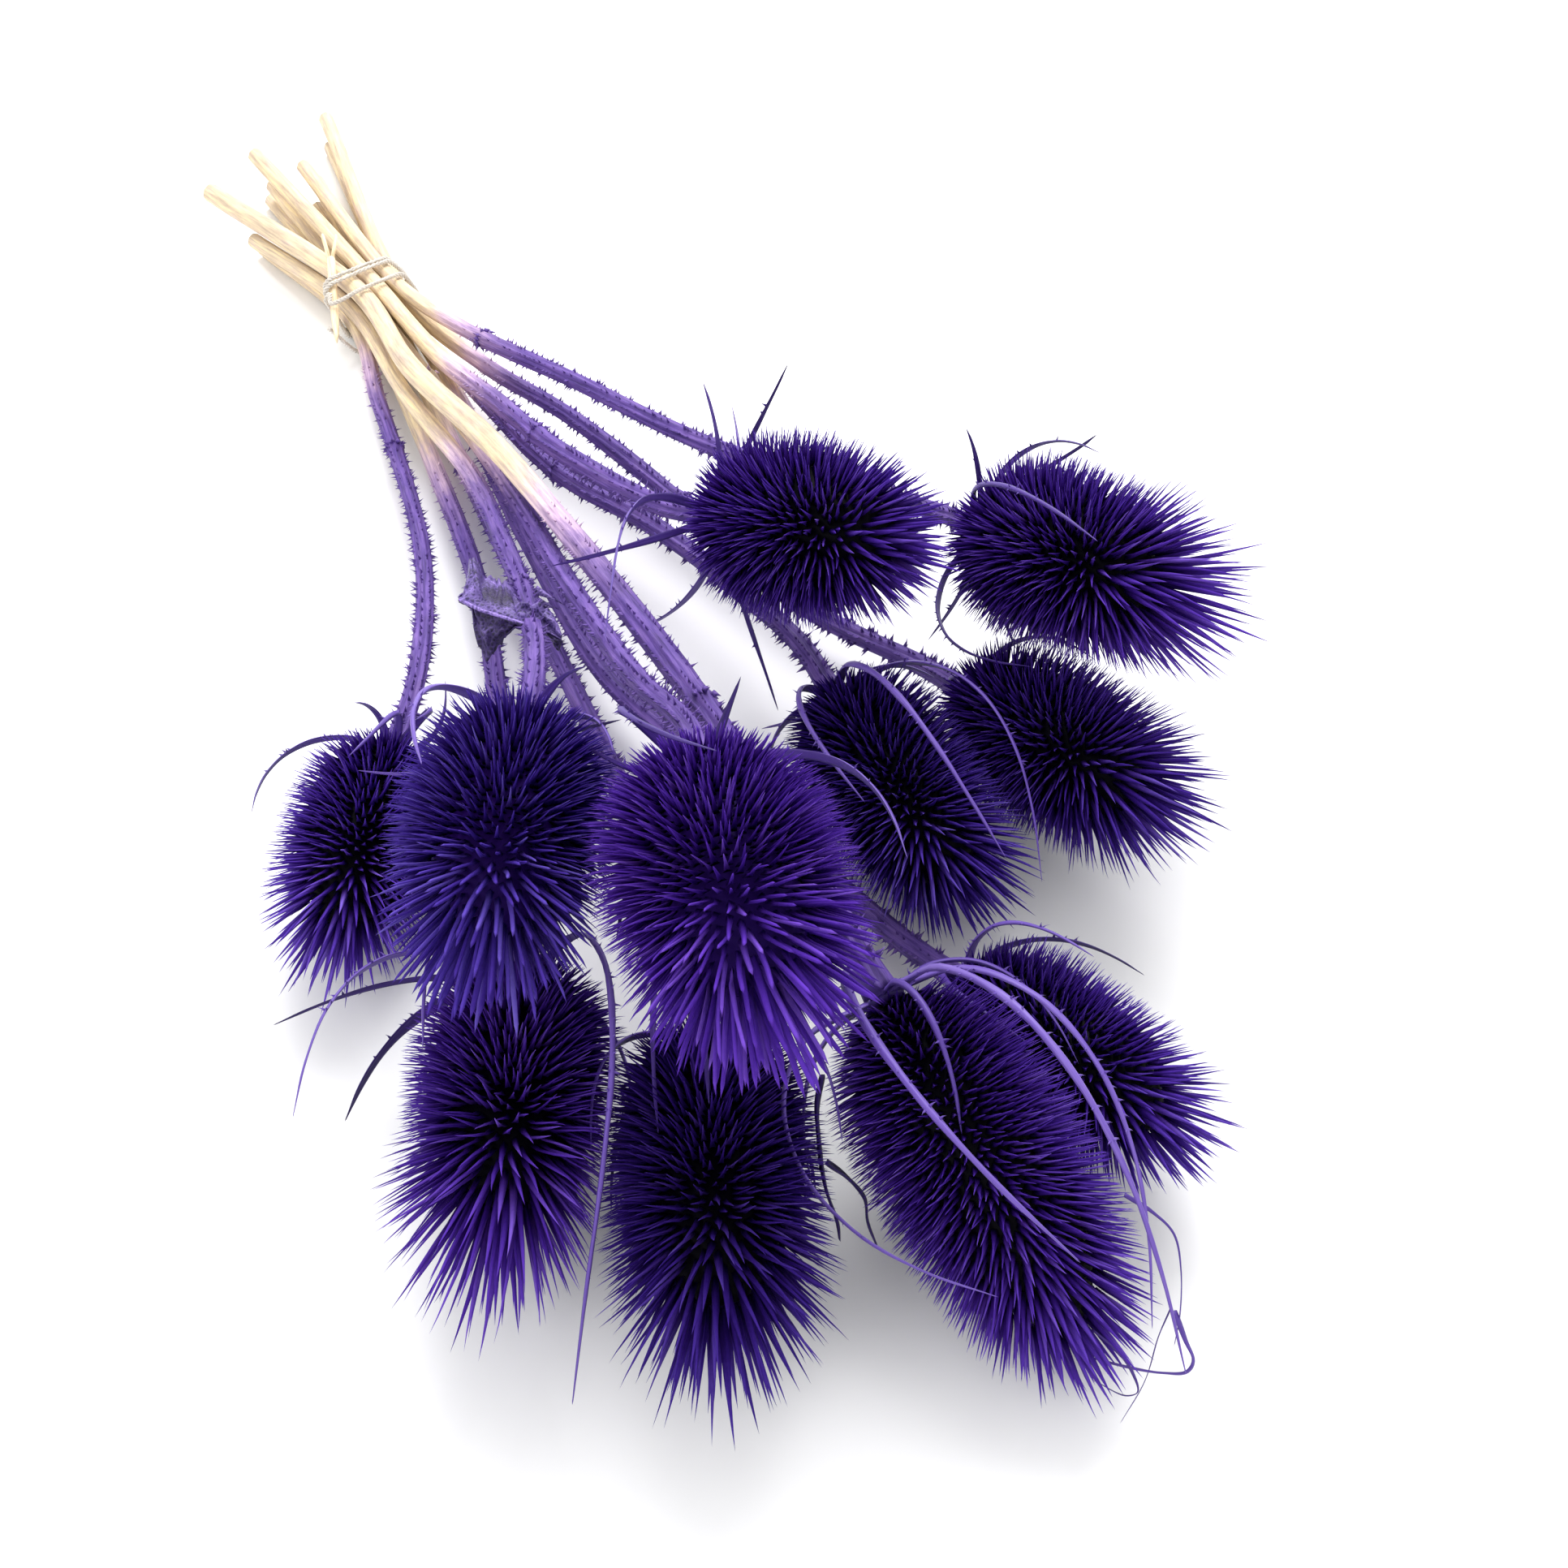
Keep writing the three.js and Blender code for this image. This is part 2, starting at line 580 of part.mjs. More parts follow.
function witheredLeaf(station) {
  const points = [];
  const columns = LEAF_ALONG + 1;
  const perFace = columns * (LEAF_ACROSS + 1);
  for (const lift of [0, LEAF_THICKNESS]) {
    for (let j = 0; j <= LEAF_ACROSS; j += 1) {
      for (let i = 0; i <= LEAF_ALONG; i += 1) {
        points.push(leafPoint(station, i / LEAF_ALONG, j / LEAF_ACROSS, lift));
      }
    }
  }
  const triangles = [];
  for (let j = 0; j < LEAF_ACROSS; j += 1) {
    for (let i = 0; i < LEAF_ALONG; i += 1) {
      const a = j * columns + i;
      const b = a + 1;
      const c = a + columns + 1;
      const d = a + columns;
      triangles.push([a, c, b], [a, d, c]);
      triangles.push([a + perFace, b + perFace, c + perFace], [a + perFace, c + perFace, d + perFace]);
    }
  }
  const rim = [];
  for (let i = 0; i < LEAF_ALONG; i += 1) rim.push(i);
  for (let j = 0; j < LEAF_ACROSS; j += 1) rim.push(j * columns + LEAF_ALONG);
  for (let i = LEAF_ALONG; i > 0; i -= 1) rim.push(LEAF_ACROSS * columns + i);
  for (let j = LEAF_ACROSS; j > 0; j -= 1) rim.push(j * columns);
  rim.forEach((a, k) => {
    const b = rim[(k + 1) % rim.length];
    triangles.push([a, b, b + perFace], [a, b + perFace, a + perFace]);
  });
  return solid(points, triangles);
}

// Peg: a slim split stick under the string, sharpened at its lower end.

const PEG_TOP = vector(-12.4, -16, 25.5);
const PEG_POINT = vector(-23.5, -63, 15.5);
const PEG_SIDES = 6;
const PEG_SPLIT = 11;
const PEG_PRONG_RADIUS = 0.9;
const PEG_PRONG_SPREAD = 2.2;

function roundBar(from, to, radii) {
  const tangent = to.clone().sub(from).normalize();
  const { side, up } = sectionFrame(tangent);
  const rings = radii.map(([share, radius]) => Array.from({ length: PEG_SIDES }, (_, i) => {
    const angle = (2 * Math.PI * i) / PEG_SIDES;
    const centre = from.clone().lerp(to, share);
    return moved(centre, side, radius * Math.cos(angle), up, radius * Math.sin(angle));
  }));
  return sweep(rings, from, to);
}

function peg() {
  const tangent = PEG_POINT.clone().sub(PEG_TOP).normalize();
  const { side, up } = sectionFrame(tangent);
  const fork = moved(PEG_TOP, tangent, PEG_SPLIT);
  const shaft = [[0, PEG_RADIUS], [0.72, PEG_RADIUS * 0.95], [0.97, 0.5]];
  const prongRadii = [[0, PEG_PRONG_RADIUS], [1, PEG_PRONG_RADIUS]];
  const prongs = [-1, 1].map((way) => {
    const top = moved(PEG_TOP, side, way * PEG_PRONG_SPREAD, up, way * 0.4);
    const root = moved(fork, tangent, 1.5, side, way * 0.3);
    return roundBar(top, root, prongRadii);
  });
  return joined([roundBar(fork, PEG_POINT, shaft), ...prongs]);
}

// String: two turns in an upper band, a run along the stems, and one turn in a lower band.
// It is drawn tight, so it touches only what stands out furthest in each direction.

const UPPER_BAND_Y = -31;
const LOWER_BAND_Y = -45;
const TURN_PITCH = 2.1;
const RUN_ANGLE = 112;

// Each stage: the angle it ends at, and how far along the stems it ends.
const WINDING = [
  { angle: 270, y: UPPER_BAND_Y },
  { angle: -90, y: UPPER_BAND_Y - TURN_PITCH },
  { angle: -450, y: UPPER_BAND_Y - 2 * TURN_PITCH },
  { angle: RUN_ANGLE - 720, y: UPPER_BAND_Y - 3 * TURN_PITCH },
  { angle: RUN_ANGLE - 735, y: LOWER_BAND_Y },
  { angle: RUN_ANGLE - 990, y: LOWER_BAND_Y - 1 },
];

// The point at a given y on a chain of stations.
function crossing(stations, y) {
  for (let i = 1; i < stations.length; i += 1) {
    const from = stations[i - 1];
    const to = stations[i];
    if ((from.centre.y - y) * (to.centre.y - y) <= 0) {
      const share = (from.centre.y - y) / (from.centre.y - to.centre.y);
      const centre = from.centre.clone().lerp(to.centre, share);
      return { centre, radius: THREE.MathUtils.lerp(from.radius, to.radius, share) };
    }
  }
  return null;
}

function stringPoint(angle, y, chains) {
  const out = vector(Math.cos(radians(angle)), 0, Math.sin(radians(angle)));
  const middle = vector(TIE_X, y, TIE_HEIGHT);
  let place = y;
  let best = null;
  for (let pass = 0; pass < 3; pass += 1) {
    const discs = chains.map((chain) => crossing(chain, place)).filter(Boolean);
    let furthest = -Infinity;
    for (const { centre, radius } of discs) {
      const reach = centre.clone().sub(middle).dot(out) + radius;
      if (reach > furthest) {
        furthest = reach;
        best = moved(centre, out, radius + STRING_RADIUS + CLEARANCE);
      }
    }
    place = y + STRING_TILT * (best.x - middle.x);
  }
  return best.setY(place);
}

function tieString(chains) {
  const path = [];
  WINDING.slice(1).forEach(({ angle, y }, i) => {
    const from = WINDING[i];
    const turn = angle - from.angle;
    const steps = Math.max(2, Math.round(Math.abs(turn) / STRING_STEP));
    for (let k = path.length ? 1 : 0; k <= steps; k += 1) {
      const share = k / steps;
      const angleHere = from.angle + turn * share;
      path.push(stringPoint(angleHere, THREE.MathUtils.lerp(from.y, y, share), chains));
    }
  });
  const rings = path.map((point, i) => {
    const before = path[Math.max(0, i - 1)];
    const after = path[Math.min(path.length - 1, i + 1)];
    const tangent = after.clone().sub(before).normalize();
    const out = vector(point.x - TIE_X, 0, point.z - TIE_HEIGHT).normalize();
    const across = tangent.clone().cross(out).normalize();
    const proud = across.clone().cross(tangent);
    return Array.from({ length: STRING_SIDES }, (_, k) => {
      const angle = (2 * Math.PI * (k + 0.5)) / STRING_SIDES;
      return moved(
        point,
        across, STRING_CORNER_RADIUS * Math.cos(angle),
        proud, STRING_CORNER_RADIUS * Math.sin(angle),
      );
    });
  });
  return sweep(rings, path[0], path[path.length - 1]);
}

// Lengths of stem or bract, as straight round bars that the awns and prickles keep clear of.
function barsOf(stations, thickness) {
  return stations.slice(1).map((to, i) => ({
    from: stations[i].centre,
    to: to.centre,
    radius: Math.max(thickness(stations[i]), thickness(to)),
  }));
}

// The bunch, from the stems outwards

const group = new THREE.Group();

for (const teasel of TEASELS) {
  teasel.frame = headFrame(teasel);
  teasel.stations = stemPath(teasel);
  teasel.stemBars = barsOf(teasel.stations, ({ radius }) => radius);
  teasel.bractPaths = teasel.bracts.map((shape) => bractPath(teasel, shape));
  teasel.bractBars = teasel.bractPaths.flatMap((path) => barsOf(path, ({ thickness }) => thickness));
}

for (const teasel of TEASELS) {
  const others = TEASELS.filter((other) => other !== teasel);
  const obstacles = [
    ...others.flatMap((other) => other.stemBars),
    ...TEASELS.flatMap((any) => any.bractBars),
  ];
  teasel.prickles = placePrickles(teasel, obstacles);
  const rings = teasel.stations.map(stemRing);
  const ends = [teasel.stations[0].centre, teasel.stations[teasel.stations.length - 1].centre];
  const pieces = [sweep(rings, ...ends), ...teasel.prickles.map(({ body }) => body)];
  if (teasel.name === LEAF_TEASEL) {
    pieces.push(witheredLeaf(teasel.stations[LEAF_STATION]));
  }
  group.add(meshOf(joined(pieces), `stem_${teasel.name}`, STEM_LILAC, 0.65));
}

const prickleBars = TEASELS.flatMap(({ prickles }) => prickles.map(({ root, tip }) => (
  { from: root, to: tip, radius: PRICKLE_WIDTH / 3 }
)));
const bars = [
  ...TEASELS.flatMap(({ stemBars, bractBars }) => [...stemBars, ...bractBars]),
  ...prickleBars,
];

for (const teasel of TEASELS) {
  const others = TEASELS.filter((other) => other !== teasel);
  const blades = teasel.bractPaths.map(bract);
  group.add(meshOf(joined([whorl(teasel), ...blades]), `bracts_${teasel.name}`, BRACT_VIOLET, 0.6));
  group.add(meshOf(head(teasel, bars, others), `head_${teasel.name}`, BRISTLE_VIOLET, 0.7));
}

const pegChain = [PEG_TOP, PEG_POINT].map((centre) => ({ centre, radius: PEG_RADIUS }));
const chains = [...TEASELS.map(({ stations }) => stations), pegChain];
group.add(meshOf(tieString(chains), 'tie_string', STRING_WHITE, 0.9));
group.add(meshOf(peg(), 'tightening_peg', PEG_CREAM, 0.7));

// The origin is under the middle of the bunch, on the plane that it lies on.
const box = new THREE.Box3().setFromObject(group);
const middle = box.getCenter(new THREE.Vector3());
group.position.set(-middle.x, -middle.y, -box.min.z);
group.updateMatrixWorld(true);

export default group;
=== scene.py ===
import math

import bpy
import numpy as np
from mathutils import Matrix


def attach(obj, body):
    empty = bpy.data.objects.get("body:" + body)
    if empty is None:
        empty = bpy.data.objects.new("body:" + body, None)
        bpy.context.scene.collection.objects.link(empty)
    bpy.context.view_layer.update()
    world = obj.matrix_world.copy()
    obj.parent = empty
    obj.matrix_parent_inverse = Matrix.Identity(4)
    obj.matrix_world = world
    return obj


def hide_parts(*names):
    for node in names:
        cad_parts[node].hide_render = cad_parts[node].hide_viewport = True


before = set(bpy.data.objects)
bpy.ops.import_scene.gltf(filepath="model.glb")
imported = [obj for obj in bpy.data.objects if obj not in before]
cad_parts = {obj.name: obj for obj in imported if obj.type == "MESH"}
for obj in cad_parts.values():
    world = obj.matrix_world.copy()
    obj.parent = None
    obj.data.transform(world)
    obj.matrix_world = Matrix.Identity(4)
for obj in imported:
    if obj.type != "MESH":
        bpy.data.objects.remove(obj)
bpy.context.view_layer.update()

# Camera: looks down on the heads from in front of them, so that the stems run away to the upper
# left. The layout is in millimetres with the tie near its origin, and MIDDLE is where the part's own
# origin lies in it.
MIDDLE = np.array([21.80, -195.37, 0.0])


def placed(points):
    """Layout millimetres to the part's frame in metres: (p - MIDDLE) / 1000."""
    return (np.asarray(points, float) - MIDDLE) / 1000


AZIMUTH, ELEVATION = math.radians(-23), math.radians(47)
view_right = np.array([math.cos(AZIMUTH), math.sin(AZIMUTH), 0.0])
view_back = np.array([
    math.sin(AZIMUTH) * math.cos(ELEVATION), -math.cos(AZIMUTH) * math.cos(ELEVATION), math.sin(ELEVATION)])
view_up = np.cross(view_back, view_right)
camera = bpy.data.objects.new("camera", bpy.data.cameras.new("camera"))
camera.data.sensor_width = 36
camera.data.lens = 46.86
camera.data.clip_start = 0.01
camera.data.shift_x = -0.0024
camera.data.shift_y = 0.0030
place = placed(np.array([39.0, -286.0, 0.0]) + 543 * view_back)
camera.matrix_world = Matrix([
    [view_right[i], view_up[i], view_back[i], place[i]] for i in range(3)] + [[0, 0, 0, 1]])
bpy.context.scene.collection.objects.link(camera)
bpy.context.scene.camera = camera

# Stems: ridged, prickly stalks of dry fibre, cream where they were stripped and tied, dyed violet
# towards the heads. Each is a tube of ridged rings along its route, with a knobbed joint where a
# leaf pair grew, and rows of hooked prickles on its ridges.
# A bract is (azimuth, lean, curl, sway, length), and may add (width factor, lightness).
# A head's shade is (painted light, blueness): the first lightens or darkens all its awns for how lit the head
# lies, darkest for heads in the shade of others, such as 03 and 04 under 01 and 02, and 09 under 07.
TEASELS = [
    dict(name="01", base=(42, -237, 55), heading=25, pitch=22, length=58, radius=16,
         awn=10, tuft=17, stem=2.8, dye=(-92, -150), joints=[-160], shade=(0.0, 0.2), blunt=0,
         route=[(-22, 56, 19), (-4, -38, 17.8), (2, -99, 26), (9, -134, 32), (17, -173, 38)],
         bracts=[(10, 70, -10, -20, 35), (75, 115, -20, -15, 40), (45, 85, 30, -20, 40),
                 (-48, 79, 48, -61, 98), (-80, 100, -5, 5, 46), (-150, 105, -55, -5, 50, 1.2, 0.2),
                 (-165, 80, 25, 15, 50), (165, 75, 0, 10, 28), (110, 80, 70, 0, 45)]),
    dict(name="02", base=(107, -262, 48), heading=14, pitch=19, length=60, radius=16.5,
         awn=10, tuft=31, stem=2.5, dye=(-62, -112), joints=[-93], shade=(0.05, 0.15), blunt=0,
         route=[(-8, 42, 19), (2.2, -38, 17.8), (13, -82, 24), (34, -130, 30), (60, -191, 38)],
         bracts=[(-5, 75, 10, -25, 35), (45, 118, 125, 0, 48), (65, 95, 75, -35, 40),
                 (-25, 62, 72, -12, 78), (-118, 97, 112, 0, 66), (-150, 95, -15, 15, 30),
                 (-175, 90, 30, 0, 30), (125, 85, 75, 0, 45)]),
    dict(name="03", base=(90, -292, 20), heading=11, pitch=16, length=62, radius=15,
         awn=9.5, tuft=25, stem=2.7, dye=(-72, -118), joints=[-178], shade=(-0.15, 0.4), blunt=0,
         route=[(10, 86, 11), (5.2, -38, 11.3), (17, -92, 15), (33, -128, 15), (50, -177, 13),
                (67, -235, 12)],
         bracts=[(-40, 90, 70, 20, 20), (40, 80, 85, 0, 45), (100, 80, 90, 0, 50), (160, 85, 75, 0, 35),
                 (-100, 85, 85, 0, 32), (-140, 80, 75, 0, 35)]),
    dict(name="04", base=(54, -284, 25), heading=1, pitch=1, length=66, radius=15,
         awn=9, tuft=22, stem=2.7, dye=(-78, -125), joints=[-157], shade=(-0.1, 0.5), blunt=0,
         route=[(-4, 44, 11), (-1, -38, 11.3), (9, -100, 16), (20, -159, 19), (36, -194, 21),
                (47, -230, 23)],
         bracts=[(0, 62, 92, 10, 92, 1.1, 0.4), (-45, 74, 90, 0, 62, 1.0, 0.36), (85, 85, 95, 15, 35),
                 (50, 66, 98, 8, 98, 0.9, 0.25), (-130, 110, -15, 5, 20), (65, 105, 85, -5, 28),
                 (140, 85, 80, 0, 40), (-95, 90, 80, 0, 40)]),
    dict(name="05", base=(-58, -258, 25), heading=-30, pitch=-3, length=52, radius=13.5,
         awn=9, tuft=20, stem=2.5, dye=(-46, -104), joints=[-114], shade=(0.26, 0.25), blunt=0,
         route=[(-30, 22, 2.8), (-13.4, -38, 5), (-17.5, -86, 7), (-20, -118, 9), (-24.5, -159, 13),
                (-31, -191, 17)],
         bracts=[(15, 110, 120, -30, 35), (-80, 100, 110, 20, 50), (-15, 125, 75, 0, 20),
                 (40, 120, 95, -30, 35), (85, 125, -70, -15, 25), (150, 85, 75, 0, 35),
                 (-140, 90, 70, 0, 30)]),
    dict(name="06", base=(-35, -307, 68), heading=-24, pitch=8, length=60, radius=16,
         awn=10, tuft=22, stem=2.6, dye=(-125, -185), joints=[-227], shade=(0.0, 0.6), blunt=1,
         route=[(-33, 18, 9), (-13.4, -38, 11.3), (-11, -100, 17), (-6, -154, 24), (-9, -200, 34),
                (-13.5, -237, 44.5)],
         bracts=[(-40, 85, 95, 20, 65, 1.2, 0.44), (30, 120, 65, 15, 25), (100, 120, 0, -5, 20),
                 (-120, 80, -30, 25, 40), (160, 85, 75, 0, 35), (60, 90, 75, 0, 35),
                 (-165, 85, 75, 0, 35)]),
    dict(name="07", base=(-7, -347, 81), heading=-15, pitch=18, length=62, radius=17.5,
         awn=11, tuft=24, stem=2.7, dye=(-128, -190), joints=[-95], shade=(0.04, 0.0), blunt=1, nod=9,
         route=[(-19, 48, 10.5), (-7.2, -38, 11.3), (-2, -100, 18), (1.5, -154, 25), (1, -194, 33.5),
                (-1, -236, 44), (-2, -290, 60)],
         bracts=[(-40, 105, 140, 40, 65), (30, 125, 25, -5, 20), (80, 110, 110, 25, 60, 1.35, 0.35),
                 (-85, 110, -25, 10, 25), (-110, 95, -20, 20, 20), (-160, 95, 80, -5, 80),
                 (130, 90, 80, 0, 45), (-135, 90, 75, 0, 40)]),
    dict(name="08", base=(-50, -339, 21), heading=-20, pitch=11, length=64, radius=15.5,
         awn=10, tuft=34, stem=2.7, dye=(-108, -170), joints=[-190], shade=(0.09, 0.1), blunt=0,
         route=[(-20, 52, 2.8), (-7.2, -38, 5), (-9, -86, 6.5), (-11, -128, 9), (-15.5, -190, 12),
                (-25.5, -242, 14)],
         bracts=[(-60, 100, 105, -20, 80), (-78, 95, 45, -5, 55), (-100, 100, 80, -15, 52, 1.7, -0.05),
                 (-25, 110, 135, -10, 70), (33, 70, 135, 24, 142, 0.9, 0.34), (110, 85, 85, 0, 45),
                 (170, 85, 80, 0, 35)]),
    dict(name="09", base=(-18, -372, 22), heading=-18, pitch=9, length=68, radius=16,
         awn=10, tuft=27, stem=2.7, dye=(-100, -160), joints=[-130], shade=(-0.27, 0.5), blunt=0,
         route=[(-6, 40, 2.8), (-1, -38, 5), (-2, -100, 7), (-3, -200, 8), (-5, -290, 11)],
         bracts=[(0, 80, 90, 0, 50), (60, 85, 90, 10, 55), (120, 80, 80, 0, 45), (180, 85, 75, 0, 35),
                 (-120, 80, 80, 0, 45), (-60, 85, 90, -10, 50)]),
    dict(name="10", base=(19, -389, 41), heading=7, pitch=-18, length=77, radius=16,
         awn=10, tuft=16, stem=3.3, dye=(-172, -262), joints=[-300], shade=(0.03, 0.2), blunt=0,
         route=[(-41, 46, 14), (-10.6, -38, 17.8), (-8, -100, 26), (1, -160, 36), (5, -210, 44),
                (9, -278, 54), (12, -320, 56)],
         bracts=[(-30, 100, 105, 20, 115, 1.1, 0.36), (0, 85, 110, -18, 48),
                 (14, 76, 112, 4, 124, 1.15, 0.42), (70, 100, 105, 0, 50), (-90, 88, 130, 20, 95),
                 (-112, 90, 75, 15, 45), (38, 72, 108, 0, 108, 1.1, 0.38), (165, 85, 85, 0, 35)]),
    dict(name="11", base=(47, -375, 17), heading=18, pitch=9, length=58, radius=13,
         awn=8.5, tuft=18, stem=2.7, dye=(-86, -140), joints=[-122], shade=(0.0, 0.3), blunt=0,
         route=[(9, 80, 2.8), (5.2, -38, 5), (6, -100, 8.5), (3, -180, 14), (5, -240, 14),
                (15, -275, 14)],
         bracts=[(125, 110, 15, -10, 25), (20, 85, 85, 0, 45), (75, 85, 85, 0, 45), (-40, 80, 90, 0, 45),
                 (-100, 85, 90, 0, 40), (-150, 85, 100, 0, 30)]),
]


def unit(vectors):
    """Each vector divided by its own length."""
    return vectors / np.linalg.norm(vectors, axis=-1, keepdims=True)


def smooth_curve(points, steps):
    """A centripetal Catmull-Rom spline, with steps points to a span. Knots lie the square root of a
    chord apart, and each span is the cubic Hermite of its two ends and their slopes."""
    p = np.asarray(points, float)
    p = np.vstack([2 * p[0] - p[1], p, 2 * p[-1] - p[-2]])
    gaps = np.sqrt(np.linalg.norm(np.diff(p, axis=0), axis=1, keepdims=True))
    before, here, after = gaps[:-2], gaps[1:-1], gaps[2:]
    a, b, c, d = p[:-3], p[1:-2], p[2:-1], p[3:]
    start = ((b - a) / before - (c - a) / (before + here) + (c - b) / here) * here
    end = ((c - b) / here - (d - b) / (here + after) + (d - c) / after) * here
    t = (np.arange(steps) / steps)[None, :, None]
    curve = ((2 * t**3 - 3 * t**2 + 1) * b[:, None] + (t**3 - 2 * t**2 + t) * start[:, None]
             + (3 * t**2 - 2 * t**3) * c[:, None] + (t**3 - t**2) * end[:, None])
    return np.vstack([curve.reshape(-1, 3), p[-2:-1]])


def frames_along(path):
    """Tangent, side and up at each point of a path: side is Z x tangent, and up is tangent x side."""
    tangent = unit(np.gradient(path, axis=0))
    side = unit(np.cross([0, 0, 1], tangent))
    return tangent, side, np.cross(tangent, side)


def closed_bodies(rings, first, last):
    """Bodies closed at both ends, from rings of points (body, ring, corner, xyz) and the end points
    (body, xyz). Gives the points, and the faces as quads and triangles, turned outwards."""
    count, along, corners = rings.shape[:3]
    points = np.concatenate([rings.reshape(count, -1, 3), first[:, None], last[:, None]], axis=1)
    ring, corner = [index.ravel() for index in np.indices((along - 1, corners))]
    here, beside = ring * corners + corner, ring * corners + (corner + 1) % corners
    quads = np.stack([here, beside, beside + corners, here + corners], axis=-1)
    corner = np.arange(corners)
    beside = (corner + 1) % corners
    low = np.full(corners, along * corners)
    top = (along - 1) * corners
    ends = np.concatenate([
        np.stack([low, beside, corner], axis=-1), np.stack([low + 1, top + corner, top + beside], axis=-1)])
    offset = (np.arange(count) * points.shape[1])[:, None, None]
    points = points.reshape(-1, 3)
    quads, ends = (quads + offset).reshape(-1, 4), (ends + offset).reshape(-1, 3)
    middle = points.mean(axis=0)
    a, b, c = [points[quads[:, i]] - middle for i in range(3)]
    d = points[quads[:, 3]] - middle
    volume = np.sum(a * np.cross(b, c)) + np.sum(a * np.cross(c, d))
    return (points, quads, ends) if volume > 0 else (points, quads[:, ::-1], ends[:, ::-1])


def merged(parts):
    """Several (points, quads, triangles, values) put together as one, with the faces renumbered."""
    starts = np.cumsum([0] + [len(part[0]) for part in parts[:-1]])
    points = np.concatenate([part[0] for part in parts])
    quads = np.concatenate([part[1] + start for part, start in zip(parts, starts)])
    ends = np.concatenate([part[2] + start for part, start in zip(parts, starts)])
    values = {key: np.concatenate([part[3][key] for part in parts]) for key in parts[0][3]}
    return points, quads, ends, values


def add_piece(name, body, material, slot, *nodes):
    """One object from (points, quads, triangles, values); each of values becomes a vertex attribute.
    It rides on the root body and stands for the nodes."""
    points, quads, ends, values = body
    mesh = bpy.data.meshes.new(name)
    mesh.vertices.add(len(points))
    mesh.vertices.foreach_set("co", placed(points).astype(np.float32).ravel())
    loops = np.concatenate([quads.ravel(), ends.ravel()]).astype(np.int32)
    starts = np.concatenate([np.arange(len(quads)) * 4, quads.size + np.arange(len(ends)) * 3])
    starts = starts.astype(np.int32)
    mesh.loops.add(len(loops))
    mesh.loops.foreach_set("vertex_index", loops)
    mesh.polygons.add(len(starts))
    mesh.polygons.foreach_set("loop_start", starts)
    mesh.polygons.foreach_set("use_smooth", np.ones(len(starts), bool))
    mesh.update(calc_edges=True)
    for key, value in values.items():
        kind, field = ("FLOAT", "value") if value.ndim == 1 else ("FLOAT_VECTOR", "vector")
        mesh.attributes.new(key, kind, "POINT").data.foreach_set(field, value.astype(np.float32).ravel())
    mesh.materials.append(material)
    piece = bpy.data.objects.new(name, mesh)
    bpy.context.scene.collection.objects.link(piece)
    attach(piece, "root")
    if nodes:
        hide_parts(*nodes)
    return piece


def new_material(name, roughness, **sockets):
    """A node material. Gives it, its tree's maker of nodes, and its shader."""
    material = bpy.data.materials.new(name)
    material.use_nodes = True
    tree = material.node_tree
    shader = tree.nodes["Principled BSDF"]
    shader.inputs["Roughness"].default_value = roughness
    for key, value in sockets.items():
        shader.inputs[key.replace("_", " ")].default_value = value

    def node(kind, inputs=None, **settings):
        made = tree.nodes.new(kind)
        for key, value in settings.items():
            setattr(made, key, value)
        for key, value in (inputs or {}).items():
            if isinstance(value, bpy.types.NodeSocket):
                tree.links.new(value, made.inputs[key])
            else:
                made.inputs[key].default_value = value
        return made

    return material, node, shader, tree.links.new


def ramp(node, source, stops):
    """Colours blended along a value: stops are (place, linear red, green, blue)."""
    made = node("ShaderNodeValToRGB", {"Fac": source})
    elements = made.color_ramp.elements
    while len(elements) < len(stops):
        elements.new(0.5)
    for element, (where, *colour) in zip(elements, sorted(stops)):
        element.position = where
        element.color = (*colour, 1)
    return made.outputs["Color"]


def head_frame(teasel):
    """The head's base, its axis, the direction up across the axis, and the side, up x axis."""
    turn, lift = math.radians(teasel["heading"]), math.radians(teasel["pitch"])
    axis = np.array([math.sin(turn) * math.cos(lift), -math.cos(turn) * math.cos(lift), math.sin(lift)])
    up = unit(np.array([0, 0, 1.0]) - axis * axis[2])
    return np.array(teasel["base"], float), axis, up, np.cross(up, axis)


def spikes(roots, out, along, length, width, hook, rings=2):
    """Four-sided spines: each starts at its root, points out, leans along by hook, and tapers from
    its width to a point. Gives the body without values."""
    round_it = np.cross(out, along)
    share = np.linspace(0, 0.55, rings)[None, :, None]
    middle = (roots[:, None] + out[:, None] * length[:, None, None] * share
              + along[:, None] * (hook * length)[:, None, None] * share**2)
    corner = np.arange(4) * math.pi / 2
    reach = 0.5 * width[:, None, None] * (1 - 1.25 * share)
    ring = (middle[:, :, None] + (reach * np.cos(corner)[None, None])[..., None] * along[:, None, None]
            + (0.6 * reach * np.sin(corner)[None, None])[..., None] * round_it[:, None, None])
    tip = roots + out * length[:, None] + along * (hook * length)[:, None]
    return closed_bodies(ring, roots - 0.3 * out, tip)


stem_material, node, shader, link = new_material("dyed_stem", 0.62, **{"Specular IOR Level": 0.3})
dye = node("ShaderNodeAttribute", attribute_name="dye").outputs["Fac"]
grain = node("ShaderNodeAttribute", attribute_name="grain").outputs["Vector"]
streak = node("ShaderNodeTexNoise", {
    "Vector": grain, "Scale": 1.0, "Detail": 5.0, "Roughness": 0.65}).outputs["Fac"]
place_noise = node("ShaderNodeMapping", {"Vector": grain, "Scale": (0.5, 0.5, 2.5)}).outputs["Vector"]
patch = node("ShaderNodeTexNoise", {"Vector": place_noise, "Scale": 0.8, "Detail": 3.0}).outputs["Fac"]
uneven = node("ShaderNodeMath", {0: patch, 1: 0.42, 2: -0.21}, operation="MULTIPLY_ADD").outputs["Value"]
dyed = node("ShaderNodeMath", {0: dye, 1: uneven}, operation="ADD", use_clamp=True).outputs["Value"]
